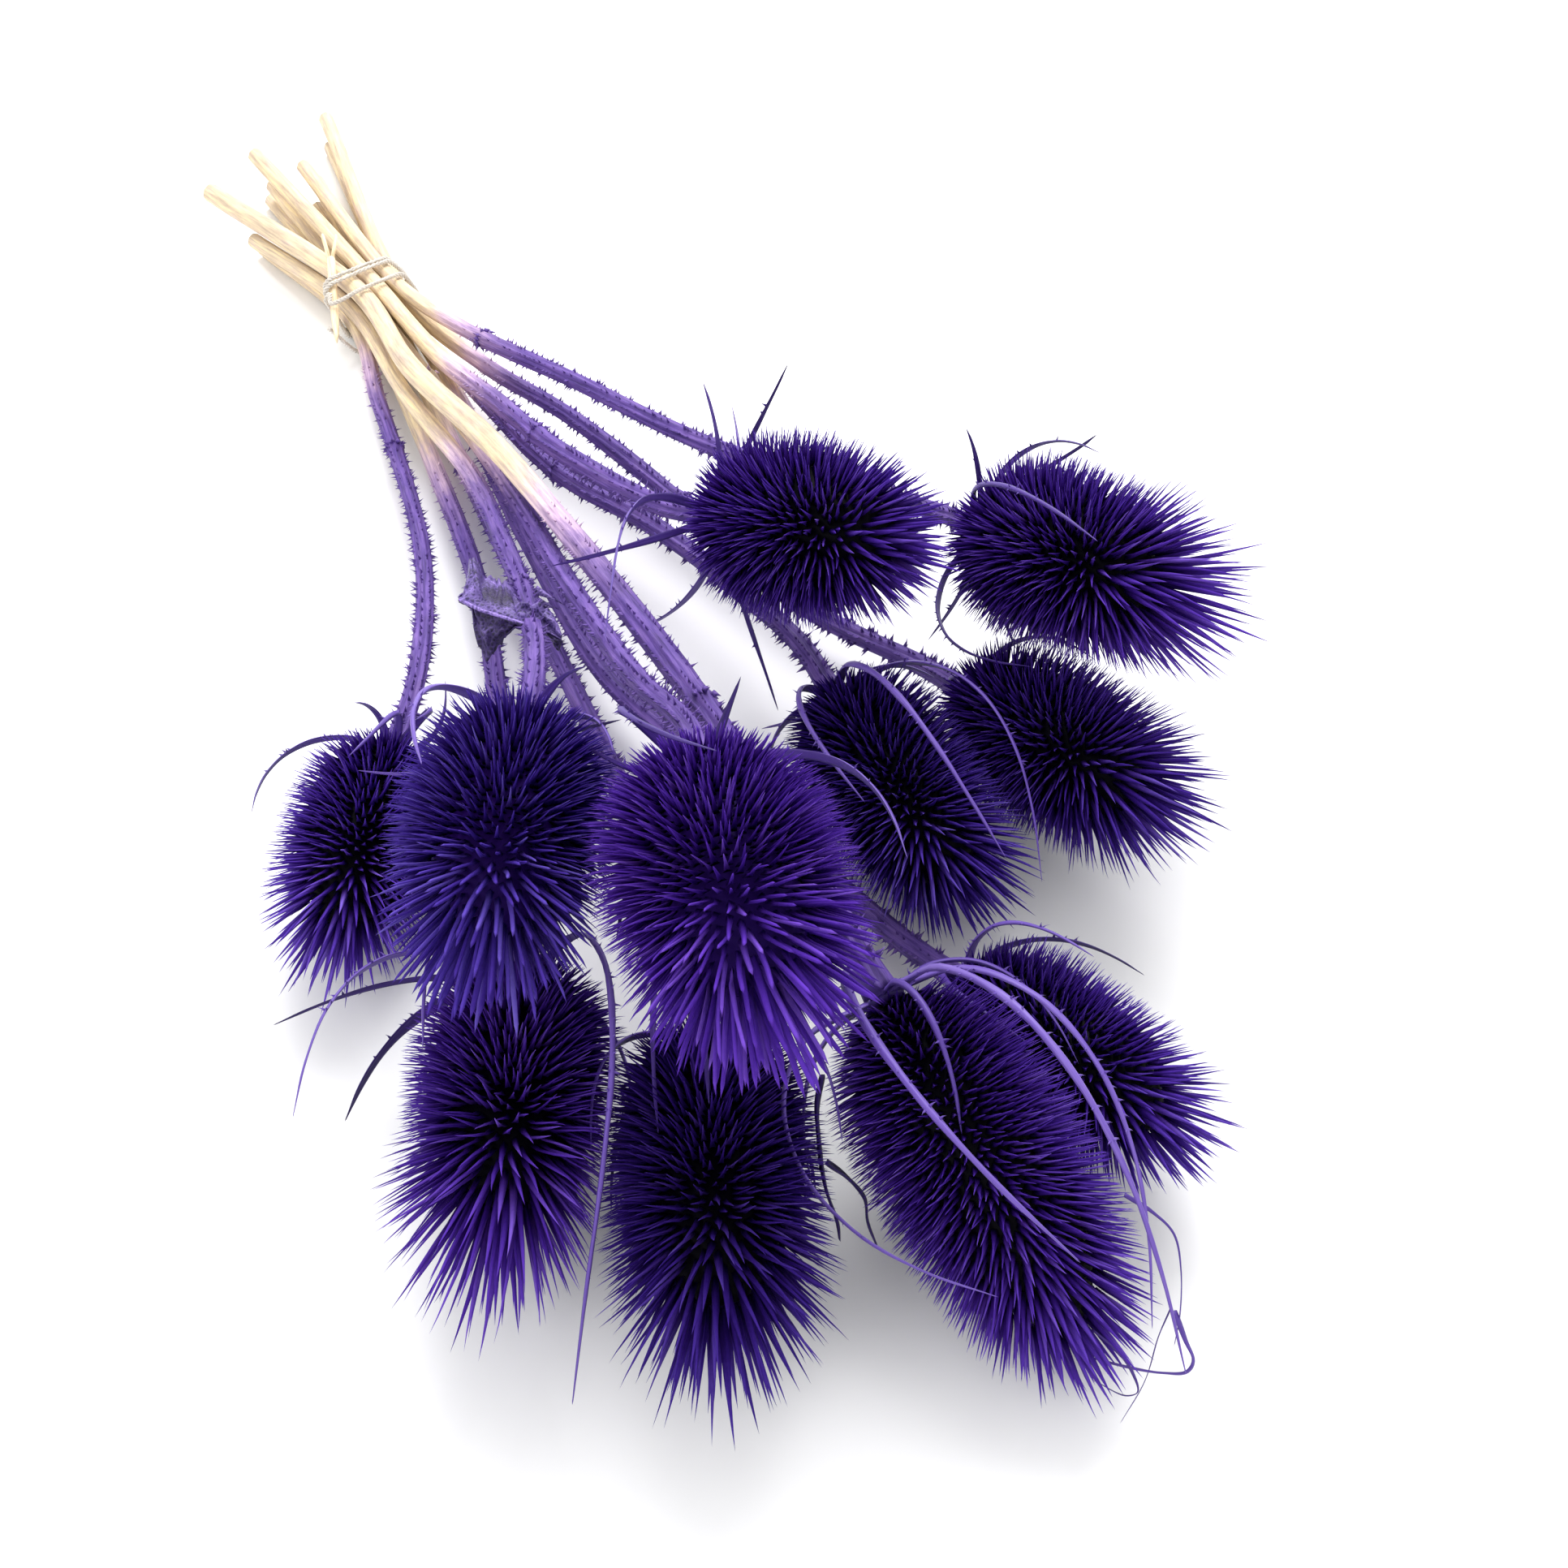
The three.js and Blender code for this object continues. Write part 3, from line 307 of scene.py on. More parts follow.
base = ramp(node, dyed, [(0.0, 0.69, 0.555, 0.375), (0.15, 0.68, 0.525, 0.45), (0.3, 0.62, 0.455, 0.56),
                         (0.46, 0.47, 0.325, 0.50), (0.68, 0.20, 0.122, 0.34), (1.0, 0.108, 0.057, 0.278)])
shade = ramp(node, streak, [(0.3, 0.34, 0.28, 0.42), (0.48, 0.88, 0.86, 0.92), (0.66, 1.55, 1.6, 1.35)])
strength = node("ShaderNodeMath", {0: dyed, 1: 0.45, 2: 0.55}, operation="MULTIPLY_ADD").outputs["Value"]
colour = node("ShaderNodeMix", {0: strength, 6: base, 7: shade}, data_type="RGBA", blend_type="MULTIPLY")
pith = node("ShaderNodeAttribute", attribute_name="pith").outputs["Fac"]
colour = node("ShaderNodeMix", {0: pith, 6: colour.outputs[2], 7: (0.80, 0.70, 0.52, 1)}, data_type="RGBA")
link(colour.outputs[2], shader.inputs["Base Color"])
bump = node("ShaderNodeBump", {"Height": streak, "Strength": 0.55, "Distance": 0.0006})
link(bump.outputs["Normal"], shader.inputs["Normal"])

RIDGES = 8
STEM_CORNERS = 32
RIDGE_TWIST = 160  # mm of stem to a radian of twist
STRAIGHT_RUN, HEAD_GAP = 25, 3.3  # how far before the head's base a stem runs straight, and ends
PRICKLES_PER_MM = 3.2
COLLAR_FLAPS = 12
for teasel in TEASELS:
    random = np.random.default_rng(100 + int(teasel["name"]))
    base, axis, _, _ = head_frame(teasel)
    path = smooth_curve([*teasel["route"], base - STRAIGHT_RUN * axis, base - HEAD_GAP * axis], 14)
    teasel["path"] = path
    along = np.concatenate([[0], np.cumsum(np.linalg.norm(np.diff(path, axis=0), axis=1))])
    y = path[:, 1]
    started, done = teasel["dye"]
    amount = np.clip((started - y) / (started - done), 0, 1)
    grown = np.clip((-y - 38) / 162, 0, 1)
    radius = teasel["stem"] * (1 + 0.06 * grown**2 * (3 - 2 * grown))
    radius *= 1 + 0.25 * np.clip(1 - (along[-1] - along) / 12, 0, 1) ** 2
    radius *= 1 + 0.025 * np.sin(along / 23 + 6 * random.random()) + 0.015 * np.sin(along / 7.3)
    teasel["thick"] = radius
    for joint in teasel["joints"]:
        knob, waist = np.exp(-((y - joint) / 2.2) ** 2), np.exp(-((y - joint - 6) / 4) ** 2)
        radius = radius * (1 + 0.16 * knob - 0.05 * waist)
    tangent, side, up = frames_along(path)
    turn = np.arange(STEM_CORNERS) * 2 * math.pi / STEM_CORNERS
    twist = along[:, None] / RIDGE_TWIST + turn[None]
    depth = 0.05 + 0.17 * amount[:, None]
    groove = depth * (0.5 - 0.5 * np.cos(RIDGES * twist))
    reach = radius[:, None] * (1 - groove - 0.02 * np.sin(3 * turn + along[:, None] / 31))
    rings = (path[:, None] + (reach * np.cos(turn))[..., None] * side[:, None]
             + (reach * np.sin(turn))[..., None] * up[:, None])
    # The cut end is a shallow dish of pith inside a rounded rim.
    cut = [path[0] + share * (rings[0] - path[0]) + tangent[0] * inset
           for share, inset in ((0.5, 0.5), (0.66, 0.12), (0.93, 0))]
    rings = np.concatenate([np.array(cut), rings])
    lengthwise = np.concatenate([[-1, -0.5, 0], along])
    body = closed_bodies(rings[None], path[:1] + 0.5 * tangent[0], path[-1:] + 0.4 * tangent[-1])
    ring_dye = np.repeat(np.concatenate([[0, 0, 0], amount]), STEM_CORNERS)
    ring_pith = np.repeat(np.concatenate([[1, 0.8, 0.3], np.zeros(len(path))]), STEM_CORNERS)
    ring_grain = np.stack(np.broadcast_arrays(
        2.6 * np.cos(turn)[None], 2.6 * np.sin(turn)[None],
        lengthwise[:, None] / 16 + int(teasel["name"]) * 7), axis=-1).reshape(-1, 3)
    values = dict(dye=np.append(ring_dye, [0, amount[-1]]), pith=np.append(ring_pith, [1, 0]),
                  grain=np.vstack([ring_grain, ring_grain[:1], ring_grain[-1:]]))
    parts = [(*body, values)]
    # Prickles stand on the ridges of the dyed part, closer together towards the head.
    from_share = np.interp(started + 0.35 * (done - started), y[::-1], along[::-1]) / along[-1]
    count = int(along[-1] * (1 - from_share) * PRICKLES_PER_MM)
    share = from_share + (0.985 - from_share) * random.random(count) ** 0.8
    spot = share * along[-1]
    centre = np.stack([np.interp(spot, along, path[:, i]) for i in range(3)], axis=1)
    here = [unit(np.stack([np.interp(spot, along, axes[:, i]) for i in range(3)], axis=1))
            for axes in (tangent, side, up)]
    ridge = random.integers(0, RIDGES, count) * 2 * math.pi / RIDGES - spot / RIDGE_TWIST
    out = here[1] * np.cos(ridge)[:, None] + here[2] * np.sin(ridge)[:, None]
    size = random.uniform(0.9, 2.7, count) * np.interp(share, [from_share, 1], [0.75, 1.1])
    foot = centre + out * (np.interp(spot, along, radius) - 0.25)[:, None]
    size = np.where(foot[:, 2] + out[:, 2] * size < 0.2, 0.2, size)
    thorn = spikes(foot, out, here[0], size, 0.55 + 0.35 * size, random.uniform(-0.35, 0.1, count))
    # Each joint keeps a ragged collar of leaf bases.
    for joint in teasel["joints"]:
        where = np.interp(joint, y[::-1], along[::-1])
        point = np.array([np.interp(where, along, path[:, i]) for i in range(3)])
        at = np.argmin(np.abs(along - where))
        angle = (np.linspace(0, 2 * math.pi, COLLAR_FLAPS + 1)[:-1]
                 + random.uniform(-0.2, 0.2, COLLAR_FLAPS))
        out = side[at] * np.cos(angle)[:, None] + up[at] * np.sin(angle)[:, None]
        lean = np.repeat(tangent[at][None], COLLAR_FLAPS, axis=0)
        flap = spikes(point + out * (radius[at] - 0.5), unit(out + 0.9 * lean), unit(lean - 0.9 * out),
                      random.uniform(1.0, 3.2, COLLAR_FLAPS), np.full(COLLAR_FLAPS, 2.6),
                      random.uniform(-0.6, 0.5, COLLAR_FLAPS), rings=3)
        parts.append((*flap, dict(dye=np.full(len(flap[0]), np.interp(where, along, amount) + 0.35),
                                  pith=np.zeros(len(flap[0])), grain=flap[0] / 2)))
    thorn_dye = np.repeat(np.interp(spot, along, amount), len(thorn[0]) // count)
    parts.append((*thorn, dict(dye=thorn_dye, pith=np.zeros(len(thorn_dye)), grain=thorn[0] / 3)))
    add_piece(f"stem_{teasel['name']}_dressed", merged(parts), stem_material, "stems",
              f"stem_{teasel['name']}")

# Bracts: long keeled blades of dry dyed fibre, lighter than the awns, with a few prickles on keel
# and edges. Each is a strip of keeled sections along its curl, and all of a head's grow on a whorl.
bract_material, node, shader, link = new_material("dyed_bract", 0.5, **{"Specular IOR Level": 0.4})
tone = node("ShaderNodeAttribute", attribute_name="tone").outputs["Fac"]
grain = node("ShaderNodeAttribute", attribute_name="grain").outputs["Vector"]
streak = node("ShaderNodeTexNoise", {
    "Vector": grain, "Scale": 1.0, "Detail": 4.0, "Roughness": 0.6}).outputs["Fac"]
mixed = node("ShaderNodeMath", {0: streak, 1: 0.5, 2: tone}, operation="MULTIPLY_ADD").outputs["Value"]
base = ramp(node, mixed, [(0.1, 0.016, 0.005, 0.075), (0.42, 0.062, 0.025, 0.235), (0.7, 0.13, 0.070, 0.38),
                          (1.0, 0.26, 0.18, 0.55)])
link(base, shader.inputs["Base Color"])
bump = node("ShaderNodeBump", {"Height": streak, "Strength": 0.4, "Distance": 0.0004})
link(bump.outputs["Normal"], shader.inputs["Normal"])


def bract_stations(teasel, shape):
    """Seven points of a bract. It leaves the whorl at its azimuth round the head and steps by a sixth
    of its length, leaning lean - curl s (2 - s) from the axis and swaying sideways by sway s. Gives
    the points and the direction of the keel at each."""
    azimuth, lean, curl, sway, length = shape[:5]
    base, axis, up, side = head_frame(teasel)
    turn = math.radians(azimuth)
    out = up * math.cos(turn) + side * math.sin(turn)
    round_it = side * math.cos(turn) - up * math.sin(turn)
    share = np.linspace(0, 1, 7)
    angle = np.radians(lean - curl * share * (2 - share))[:, None]
    swing = np.radians(sway * share)[:, None]
    forward = np.cos(angle) * axis + np.sin(angle) * out
    step = (np.cos(swing) * forward + np.sin(swing) * round_it) * length / 6
    start = base + 3.6 * out - 1.5 * axis
    keel = -np.sin(angle) * axis + np.cos(angle) * out
    return start + np.vstack([np.zeros(3), np.cumsum(step[:-1], axis=0)]), keel


def blade(path, keel, width, light, run):
    """A keeled strip along a path: at each point a section of seven corners, as wide as width and
    about half as deep, its keel outwards. run is the length travelled, which carries the grain."""
    tangent = unit(np.gradient(path, axis=0))
    keel = unit(keel - tangent * np.sum(keel * tangent, axis=1, keepdims=True))
    across = np.cross(tangent, keel)
    outline = np.array([(0.5, 0.0), (0.30, 0.26), (0.0, 0.46), (-0.30, 0.26), (-0.5, 0.0),
                        (-0.2, 0.06), (0.2, 0.06)])
    rings = (path[:, None] + (width[:, None] * outline[:, 0])[..., None] * across[:, None]
             + (width[:, None] * outline[:, 1])[..., None] * keel[:, None])
    body = closed_bodies(rings[None], path[:1], path[-1:] + 0.8 * tangent[-1:])
    across_grain = outline[None, :, 0] * np.ones((len(path), 1)) * 3
    length_grain = run[:, None] / 14 * np.ones((1, 7))
    grain = np.stack([across_grain, length_grain, np.zeros_like(length_grain)], axis=-1).reshape(-1, 3)
    values = dict(tone=np.append(np.repeat(light, 7), [light[0], light[-1]]),
                  grain=np.vstack([grain, grain[:1], grain[-1:]]))
    return (*body, values), tangent, keel, across


# Wiry ends and torn strips of the bracts of teasel 10: (width, lightness, route) of each.
STRIPS = [
    (2.0, 0.2, [(47, -468, 20), (47, -473, 17), (47, -477, 15), (45, -478, 14), (41, -476, 13),
                (35, -472, 13), (29, -468, 14)]),
    (1.0, 0.2, [(44, -449, 38), (49, -453, 34), (52, -457, 30), (51, -463, 25), (48, -469, 20),
                (45, -473, 17)]),
    (0.7, 0.1, [(47, -467, 20), (43, -470, 15), (38, -475, 10), (31, -479, 5)]),
    (0.9, 0.1, [(30, -465, 20), (33, -470, 18), (35, -474, 14), (35, -477, 11), (33, -476, 9),
                (29, -471, 9)]),
    (2.6, -0.08, [(1, -396, 34), (-3, -402, 31), (-5, -408, 27), (-7, -416, 23), (-7, -422, 19),
                  (-8, -425, 18)]),
    (2.2, -0.08, [(-5, -411, 26), (-2, -415, 24), (0, -420, 22), (-1, -424, 19), (-1, -429, 16)]),
]
WHORL_CORNERS = 14
WHORL_RADIUS = 5.2
BRACT_WIDTH, BRACT_END_WIDTH = 2.6, 0.8
MM_PER_THORN = 4.5
for teasel in TEASELS:
    random = np.random.default_rng(200 + int(teasel["name"]))
    base, axis, up, side = head_frame(teasel)
    corner = np.arange(WHORL_CORNERS)
    turn = corner * 2 * math.pi / WHORL_CORNERS
    spread = np.array([0.55, 0.85, 1.0, 0.9, 0.6])[:, None] * (WHORL_RADIUS - 0.5 * (corner % 2))
    rings = (base - axis * np.array([3, 2.6, 1.5, 0.5, 0.05])[:, None, None]
             + (spread * np.cos(turn))[..., None] * up + (spread * np.sin(turn))[..., None] * side)
    disc = closed_bodies(rings[None], (base - 3 * axis)[None], base[None])
    parts = [(*disc, dict(tone=np.full(len(disc[0]), 0.15), grain=disc[0] / 3))]
    bars = []
    for shape in teasel["bracts"]:
        points, keels = bract_stations(teasel, shape)
        path = smooth_curve(points, 6)
        fine = np.linspace(0, 6, len(path))
        keel = np.stack([np.interp(fine, np.arange(7), keels[:, i]) for i in range(3)], axis=1)
        share = np.linspace(0, 1, len(path))
        wide, lit = shape[5:] or (1, random.uniform(-0.08, 0.36))
        width = wide * (BRACT_WIDTH + (BRACT_END_WIDTH - BRACT_WIDTH) * share**1.2)
        width = width * np.interp(share, [0, 0.08, 0.9, 1], [1.35, 1.0, 0.8, 0.35])
        width *= 1 + 0.09 * np.sin(share * shape[4] / 3.1 + shape[0])
        bars.append((path[:-1], path[1:], 0.5 * width[:-1]))
        light = lit + 0.14 * (1 - share)
        strip, tangent, keel, across = blade(path, keel, width, light, share * shape[4] + 14 * shape[0])
        parts.append(strip)
        number = int(shape[4] / MM_PER_THORN)
        spot = np.sort(random.uniform(0.04, 0.72, number)) * (len(path) - 1)
        at = spot.astype(int)
        kind = random.integers(0, 3, number)
        on_keel, edge = (kind == 0)[:, None], np.where(kind == 1, 1, -1)[:, None]
        out = np.where(on_keel, keel[at], unit(across[at] * edge + 0.4 * keel[at]))
        foot = path[at] + np.where(on_keel, 0.42 * keel[at], 0.38 * out) * width[at, None]
        thorn = spikes(foot, out, tangent[at], random.uniform(0.7, 1.8, number), np.full(number, 0.8),
                       random.uniform(0.1, 0.7, number))
        parts.append((*thorn, dict(tone=np.full(len(thorn[0]), light.mean()), grain=thorn[0] / 3)))
    if teasel["name"] == "10":
        for wide, lit, points in STRIPS:
            path = smooth_curve(points, 8)
            share = np.linspace(0, 1, len(path))
            width = wide * (1 - 0.6 * share) * (1 + 0.15 * np.sin(17 * share))
            parts.append(blade(path, unit(path - base - 40 * axis), width, lit + 0 * share, 40 * share)[0])
    teasel["bars"] = bars
    add_piece(f"bracts_{teasel['name']}_dressed", merged(parts), bract_material, "bracts",
              f"bracts_{teasel['name']}")

# Seed heads: an egg-shaped core, painted near black as the shade deep under the awns, covered in
# stiff violet awns. Each awn grows from a boat-shaped scale, so that the roots show as a honeycomb,
# and the awns at the tip form a longer tuft. They follow the sunflower spiral, one turned from the
# next by the golden angle.
awn_material, node, shader, link = new_material("dyed_awn", 0.5, **{"Specular IOR Level": 0.05})
tone = node("ShaderNodeAttribute", attribute_name="tone").outputs["Fac"]
tint = node("ShaderNodeAttribute", attribute_name="tint").outputs["Fac"]
coords = node("ShaderNodeTexCoord").outputs["Object"]
mottle = node("ShaderNodeTexNoise", {"Vector": coords, "Scale": 900.0, "Detail": 2.0}).outputs["Fac"]
mixed = node("ShaderNodeMath", {0: mottle, 1: 0.16, 2: tone}, operation="MULTIPLY_ADD").outputs["Value"]
base = ramp(node, mixed, [(0.0, 0.0008, 0.0002, 0.004), (0.2, 0.006, 0.001, 0.032), (0.6, 0.044, 0.010, 0.20),
                          (1.0, 0.115, 0.040, 0.43)])
dusty = ramp(node, tint, [(0.0, 0.62, 0.5, 0.72), (0.5, 0.95, 0.9, 1.0), (0.92, 1.35, 1.6, 1.12),
                          (1.0, 1.9, 2.6, 1.4)])
colour = node("ShaderNodeMix", {"Factor": 1.0, 6: base, 7: dusty}, data_type="RGBA", blend_type="MULTIPLY")
bluer = node("ShaderNodeMix", {"Factor": 1.0, 6: colour.outputs[2], 7: (0.72, 1.5, 0.9, 1)},
             data_type="RGBA", blend_type="MULTIPLY")
blue = node("ShaderNodeAttribute", attribute_name="blue").outputs["Fac"]
colour = node("ShaderNodeMix", {0: blue, 6: colour.outputs[2], 7: bluer.outputs[2]}, data_type="RGBA")
link(colour.outputs[2], shader.inputs["Base Color"])

GOLDEN_ANGLE = math.pi * (3 - math.sqrt(5))
RING_AT = np.array([0.07, 0.25, 0.58, 0.90])  # where an awn's sections stand along it
CORE_CORNERS = 28
CLEARANCE = 0.25


def core_radius(teasel, x):
    """Radius R sqrt(1 - y^2.3), where y runs from 0 at the widest, x = 0.42, to 1 at the tip and
    0.93 at the base."""
    y = np.where(x > 0.42, (x - 0.42) / 0.58, (0.42 - x) / 0.42 * 0.93)
    return teasel["radius"] * np.sqrt(np.clip(1 - np.abs(y) ** 2.3, 0, 1))


def spine(teasel, x):
    """Centre line of a head and its direction. It runs straight along the axis, but a head that nods
    bends down and to its side by nod x^1.6."""
    base, axis, up, side = head_frame(teasel)
    nod = teasel.get("nod", 0) * (0.47 * side - 0.88 * up)
    x = np.asarray(x)[..., None]
    whole = teasel["length"] * axis
    return base + x * teasel["length"] * axis + x**1.6 * nod, unit(whole + 1.6 * x**0.6 * nod)


def core_distance(teasel, points):
    """Distance from points to a core, taken as ten balls along its axis."""
    x = np.arange(0.08, 1, 0.1)
    centres = spine(teasel, x)[0]
    gap = np.linalg.norm(points[..., None, :] - centres, axis=-1) - core_radius(teasel, x)
    return gap.min(axis=-1)


def bar_distance(points, start, end, thick):
    """Distance from each point to the nearest of many straight round bars."""
    span = end - start
    share = np.einsum("pbi,bi->pb", points[:, None] - start, span) / np.sum(span * span, axis=1)
    nearest = start + np.clip(share, 0, 1)[..., None] * span
    return (np.linalg.norm(points[:, None] - nearest, axis=-1) - thick).min(axis=1)


all_bars = [(t["path"][:-1], t["path"][1:], t["thick"][:-1]) for t in TEASELS]
all_bars += [bar for t in TEASELS for bar in t["bars"]]
bar_start, bar_end, bar_thick = [np.concatenate(group) for group in zip(*all_bars)]

for teasel in TEASELS:
    random = np.random.default_rng(300 + int(teasel["name"]))
    base, axis, up, side = head_frame(teasel)
    fine = np.linspace(0, 1, 400)
    radius = core_radius(teasel, fine)
    run = np.hypot(np.gradient(radius, fine), teasel["length"])
    room = np.interp(fine, [0, 0.15, 0.7, 0.88, 1], [3.0, 3.2, 3.3, 4.6, 6.5])
    number = np.cumsum(2 * math.pi * radius * run / room) / 400
    count = int(number[-1])
    x = np.interp((np.arange(count) + 0.5) / count, number / number[-1], fine)
    turn = np.arange(count) * GOLDEN_ANGLE + random.normal(0, 0.03, count)
    short = 0.3 / teasel["length"]
    centre, aim = spine(teasel, short + x * (1 - short))
    out = np.cos(turn)[:, None] * up + np.sin(turn)[:, None] * side
    out = unit(out - aim * np.sum(out * aim, axis=1, keepdims=True))
    round_it = np.cross(aim, out)
    root = centre + (core_radius(teasel, x) - 0.7)[:, None] * out
    towards_tip = np.clip((x - 0.6) / 0.4, 0, 1) ** 1.5
    length = (teasel["awn"] + (teasel["tuft"] - teasel["awn"]) * towards_tip) * np.minimum(1, 0.6 + 2.5 * x)
    length = length * random.uniform(0.86, 1.1, count)
    length = length * (1 + towards_tip * (0.16 - 0.46 * random.random(count) ** 1.5)) + 0.7
    length *= 1 - teasel.get("nod", 0) / 22 * np.maximum(np.cos(turn), 0) * np.clip((0.6 - x) / 0.3, 0, 1)
    lean = np.interp(x, [0, 0.3, 0.6, 0.8, 0.92, 1], [104, 90, 74, 54, 34, 6]) + random.normal(0, 3.5, count)
    swing = np.radians(random.normal(0, 4, count))
    bend = random.uniform(-4, 12, count)

    def centre_line(length, at):
        """Points of every awn at shares of its length. Its direction starts a third of the way back
        to the axis, reaches its lean by a third of its length, and bends on towards the tip."""
        steps = np.linspace(0, 1, 17)
        here = 0.5 * (steps[1:] + steps[:-1])
        leaning = lean[:, None] * (1 - 0.42 * np.clip(1 - here / 0.3, 0, 1))
        angle = np.radians(leaning - bend[:, None] * here**2)
        direction = (np.cos(angle)[..., None] * aim[:, None] + np.sin(angle)[..., None] * out[:, None]
                     + (swing[:, None] * here)[..., None] * round_it[:, None])
        line = np.cumsum(np.concatenate([np.zeros((count, 1, 3)), direction / 16], axis=1), axis=1)
        picked = np.stack([line[:, int(round(16 * a))] for a in at], axis=1)
        return root[:, None] + picked * length[:, None, None]

    # An awn ends where it would meet the ground, a stem or a bract, or reach deep among the awns
    # of the next head.
    probe = np.array([0.25, 0.375, 0.5, 0.625, 0.75, 0.875, 1.0])
    tested = centre_line(length, probe)
    middle = base + 0.5 * teasel["length"] * axis
    reach = 0.5 * teasel["length"] + teasel["tuft"] + 12
    near = np.linalg.norm(0.5 * (bar_start + bar_end) - middle, axis=1) < reach + 6
    flat = tested.reshape(-1, 3)
    stopped = flat[:, 2] < CLEARANCE
    stopped |= bar_distance(flat, bar_start[near], bar_end[near], bar_thick[near]) < CLEARANCE
    own = core_distance(teasel, flat)
    for other in TEASELS:
        if other is not teasel:
            stopped |= core_distance(other, flat) < own - 3
    stopped = stopped.reshape(count, -1)
    first = np.where(stopped.any(axis=1), stopped.argmax(axis=1), len(probe))
    keep = np.concatenate([[0.2], probe])[first]
    line = centre_line(length * keep, np.append(RING_AT, 1.0))
    line[..., 2] = np.maximum(line[..., 2], CLEARANCE)
    tangent = unit(np.gradient(line, axis=1))
    across = np.repeat(round_it[:, None], line.shape[1], axis=1)
    keel = unit(np.cross(tangent, across))
    keel *= np.sign(-np.sum(keel * axis, axis=-1, keepdims=True) + 1e-9)
    tufted = np.clip((x - 0.75) / 0.2, 0, 1)[:, None]
    blunt = tufted * teasel["blunt"]
    width = np.array([1.9, 1.25, 0.56, 0.22])[None] + tufted * np.array([-0.2, 0.3, 0.55, 0.1])[None]
    width = width + blunt * np.array([0, -0.1, 0.1, 0.7])[None]
    width = width * random.uniform(0.88, 1.12, count)[:, None]
    width = (width * np.minimum(1, 0.5 + 0.5 * keep)[:, None])[..., None]
    hollow = np.array([0.26, 0.1, -0.2, -0.3])[None, :, None]
    corners = [across[:, :-1] * width * 0.5, keel[:, :-1] * width * 0.5, -across[:, :-1] * width * 0.5,
               keel[:, :-1] * width * hollow]
    rings = line[:, :-1, None] + np.stack(corners, axis=2)
    body = closed_bodies(rings, line[:, 0], line[:, -1])
    along = np.concatenate([np.repeat(RING_AT, 4), [0, 1]])
    # Painted light and shade: each head's first shade value brightens or darkens its awns, more towards their
    # tips, for how lit the head lies.
    painted_head_light, blue = teasel["shade"]
    # Painted shade: each awn is near black at its root, among the packed roots where shade falls, and lighter
    # towards its tip; tuft awns are a little lighter.
    tone = np.interp(along, [0, 0.1, 0.32, 1], [0.02, 0.16, 0.5, 0.86])[None] + 0.08 * tufted
    tone = tone + blunt * np.interp(along, [0, 0.5, 1], [0.5, 0.2, -0.12])
    # Painted shade: all but the blunt heads darken towards their base, which lies in the shade of the heads
    # and stems above it, and lighten a little towards the tip.
    tone = tone + (1 - teasel["blunt"]) * np.interp(x, [0, 0.6], [-0.15, 0.04])[:, None]
    shine = random.random(count) ** 1.4
    values = dict(tone=(tone + painted_head_light * along).ravel(), tint=np.repeat(shine, len(along)),
                  blue=np.full(tone.size, blue))
    # The core under the awns, painted near black as the shade beneath them; on the blunt heads it is lighter.
    x = 0.5 - 0.5 * np.cos(np.linspace(0, math.pi, 22)[1:-1])
    angle = np.arange(CORE_CORNERS) * 2 * math.pi / CORE_CORNERS
    reach = (core_radius(teasel, x) - 0.2)[:, None]
    rings = (spine(teasel, short + x * (1 - short))[0][:, None]
             + (reach * np.cos(angle))[..., None] * up + (reach * np.sin(angle))[..., None] * side)
    core = closed_bodies(rings[None], (base + 0.3 * axis)[None], spine(teasel, [1.0])[0])
    painted_dark_core = dict(tone=np.full(len(core[0]), 0.45 * teasel["blunt"] - 0.1),
                tint=np.zeros(len(core[0])), blue=np.zeros(len(core[0])))
    add_piece(f"head_{teasel['name']}_dressed", merged([(*body, values), (*core, painted_dark_core)]), awn_material,
              "awns", f"head_{teasel['name']}")

# Withered leaf: a dark crumpled blade with a pale midrib, still on the stem of teasel 06 at a joint.
# The blade runs across the stem in front of it, one half rising and curling away, the other hanging
# in a torn flap.
leaf_material, node, shader, link = new_material("withered_leaf", 0.55, **{"Specular IOR Level": 0.35})
tone = node("ShaderNodeAttribute", attribute_name="tone").outputs["Fac"]
coords = node("ShaderNodeTexCoord").outputs["Object"]
net = node("ShaderNodeTexVoronoi", {"Vector": coords, "Scale": 900.0},
           feature="DISTANCE_TO_EDGE").outputs["Distance"]
blotch = node("ShaderNodeTexNoise", {"Vector": coords, "Scale": 260.0, "Detail": 4.0}).outputs["Fac"]
veined = node("ShaderNodeMath", {0: net, 1: -1.1, 2: blotch}, operation="MULTIPLY_ADD").outputs["Value"]
mixed = node("ShaderNodeMath", {0: veined, 1: tone}, operation="ADD", use_clamp=True).outputs["Value"]
base = ramp(node, mixed, [(0.1, 0.012, 0.006, 0.035), (0.42, 0.05, 0.030, 0.13), (0.7, 0.15, 0.10, 0.33),
                          (1.0, 0.34, 0.23, 0.66)])
link(base, shader.inputs["Base Color"])
bump = node("ShaderNodeBump", {"Height": net, "Strength": 0.6, "Distance": 0.0006})
link(bump.outputs["Normal"], shader.inputs["Normal"])

stalk = next(teasel for teasel in TEASELS if teasel["name"] == "06")
hold, joint = [stalk["path"][np.argmin(np.abs(stalk["path"][:, 1] - y))] for y in (-252, -226)]
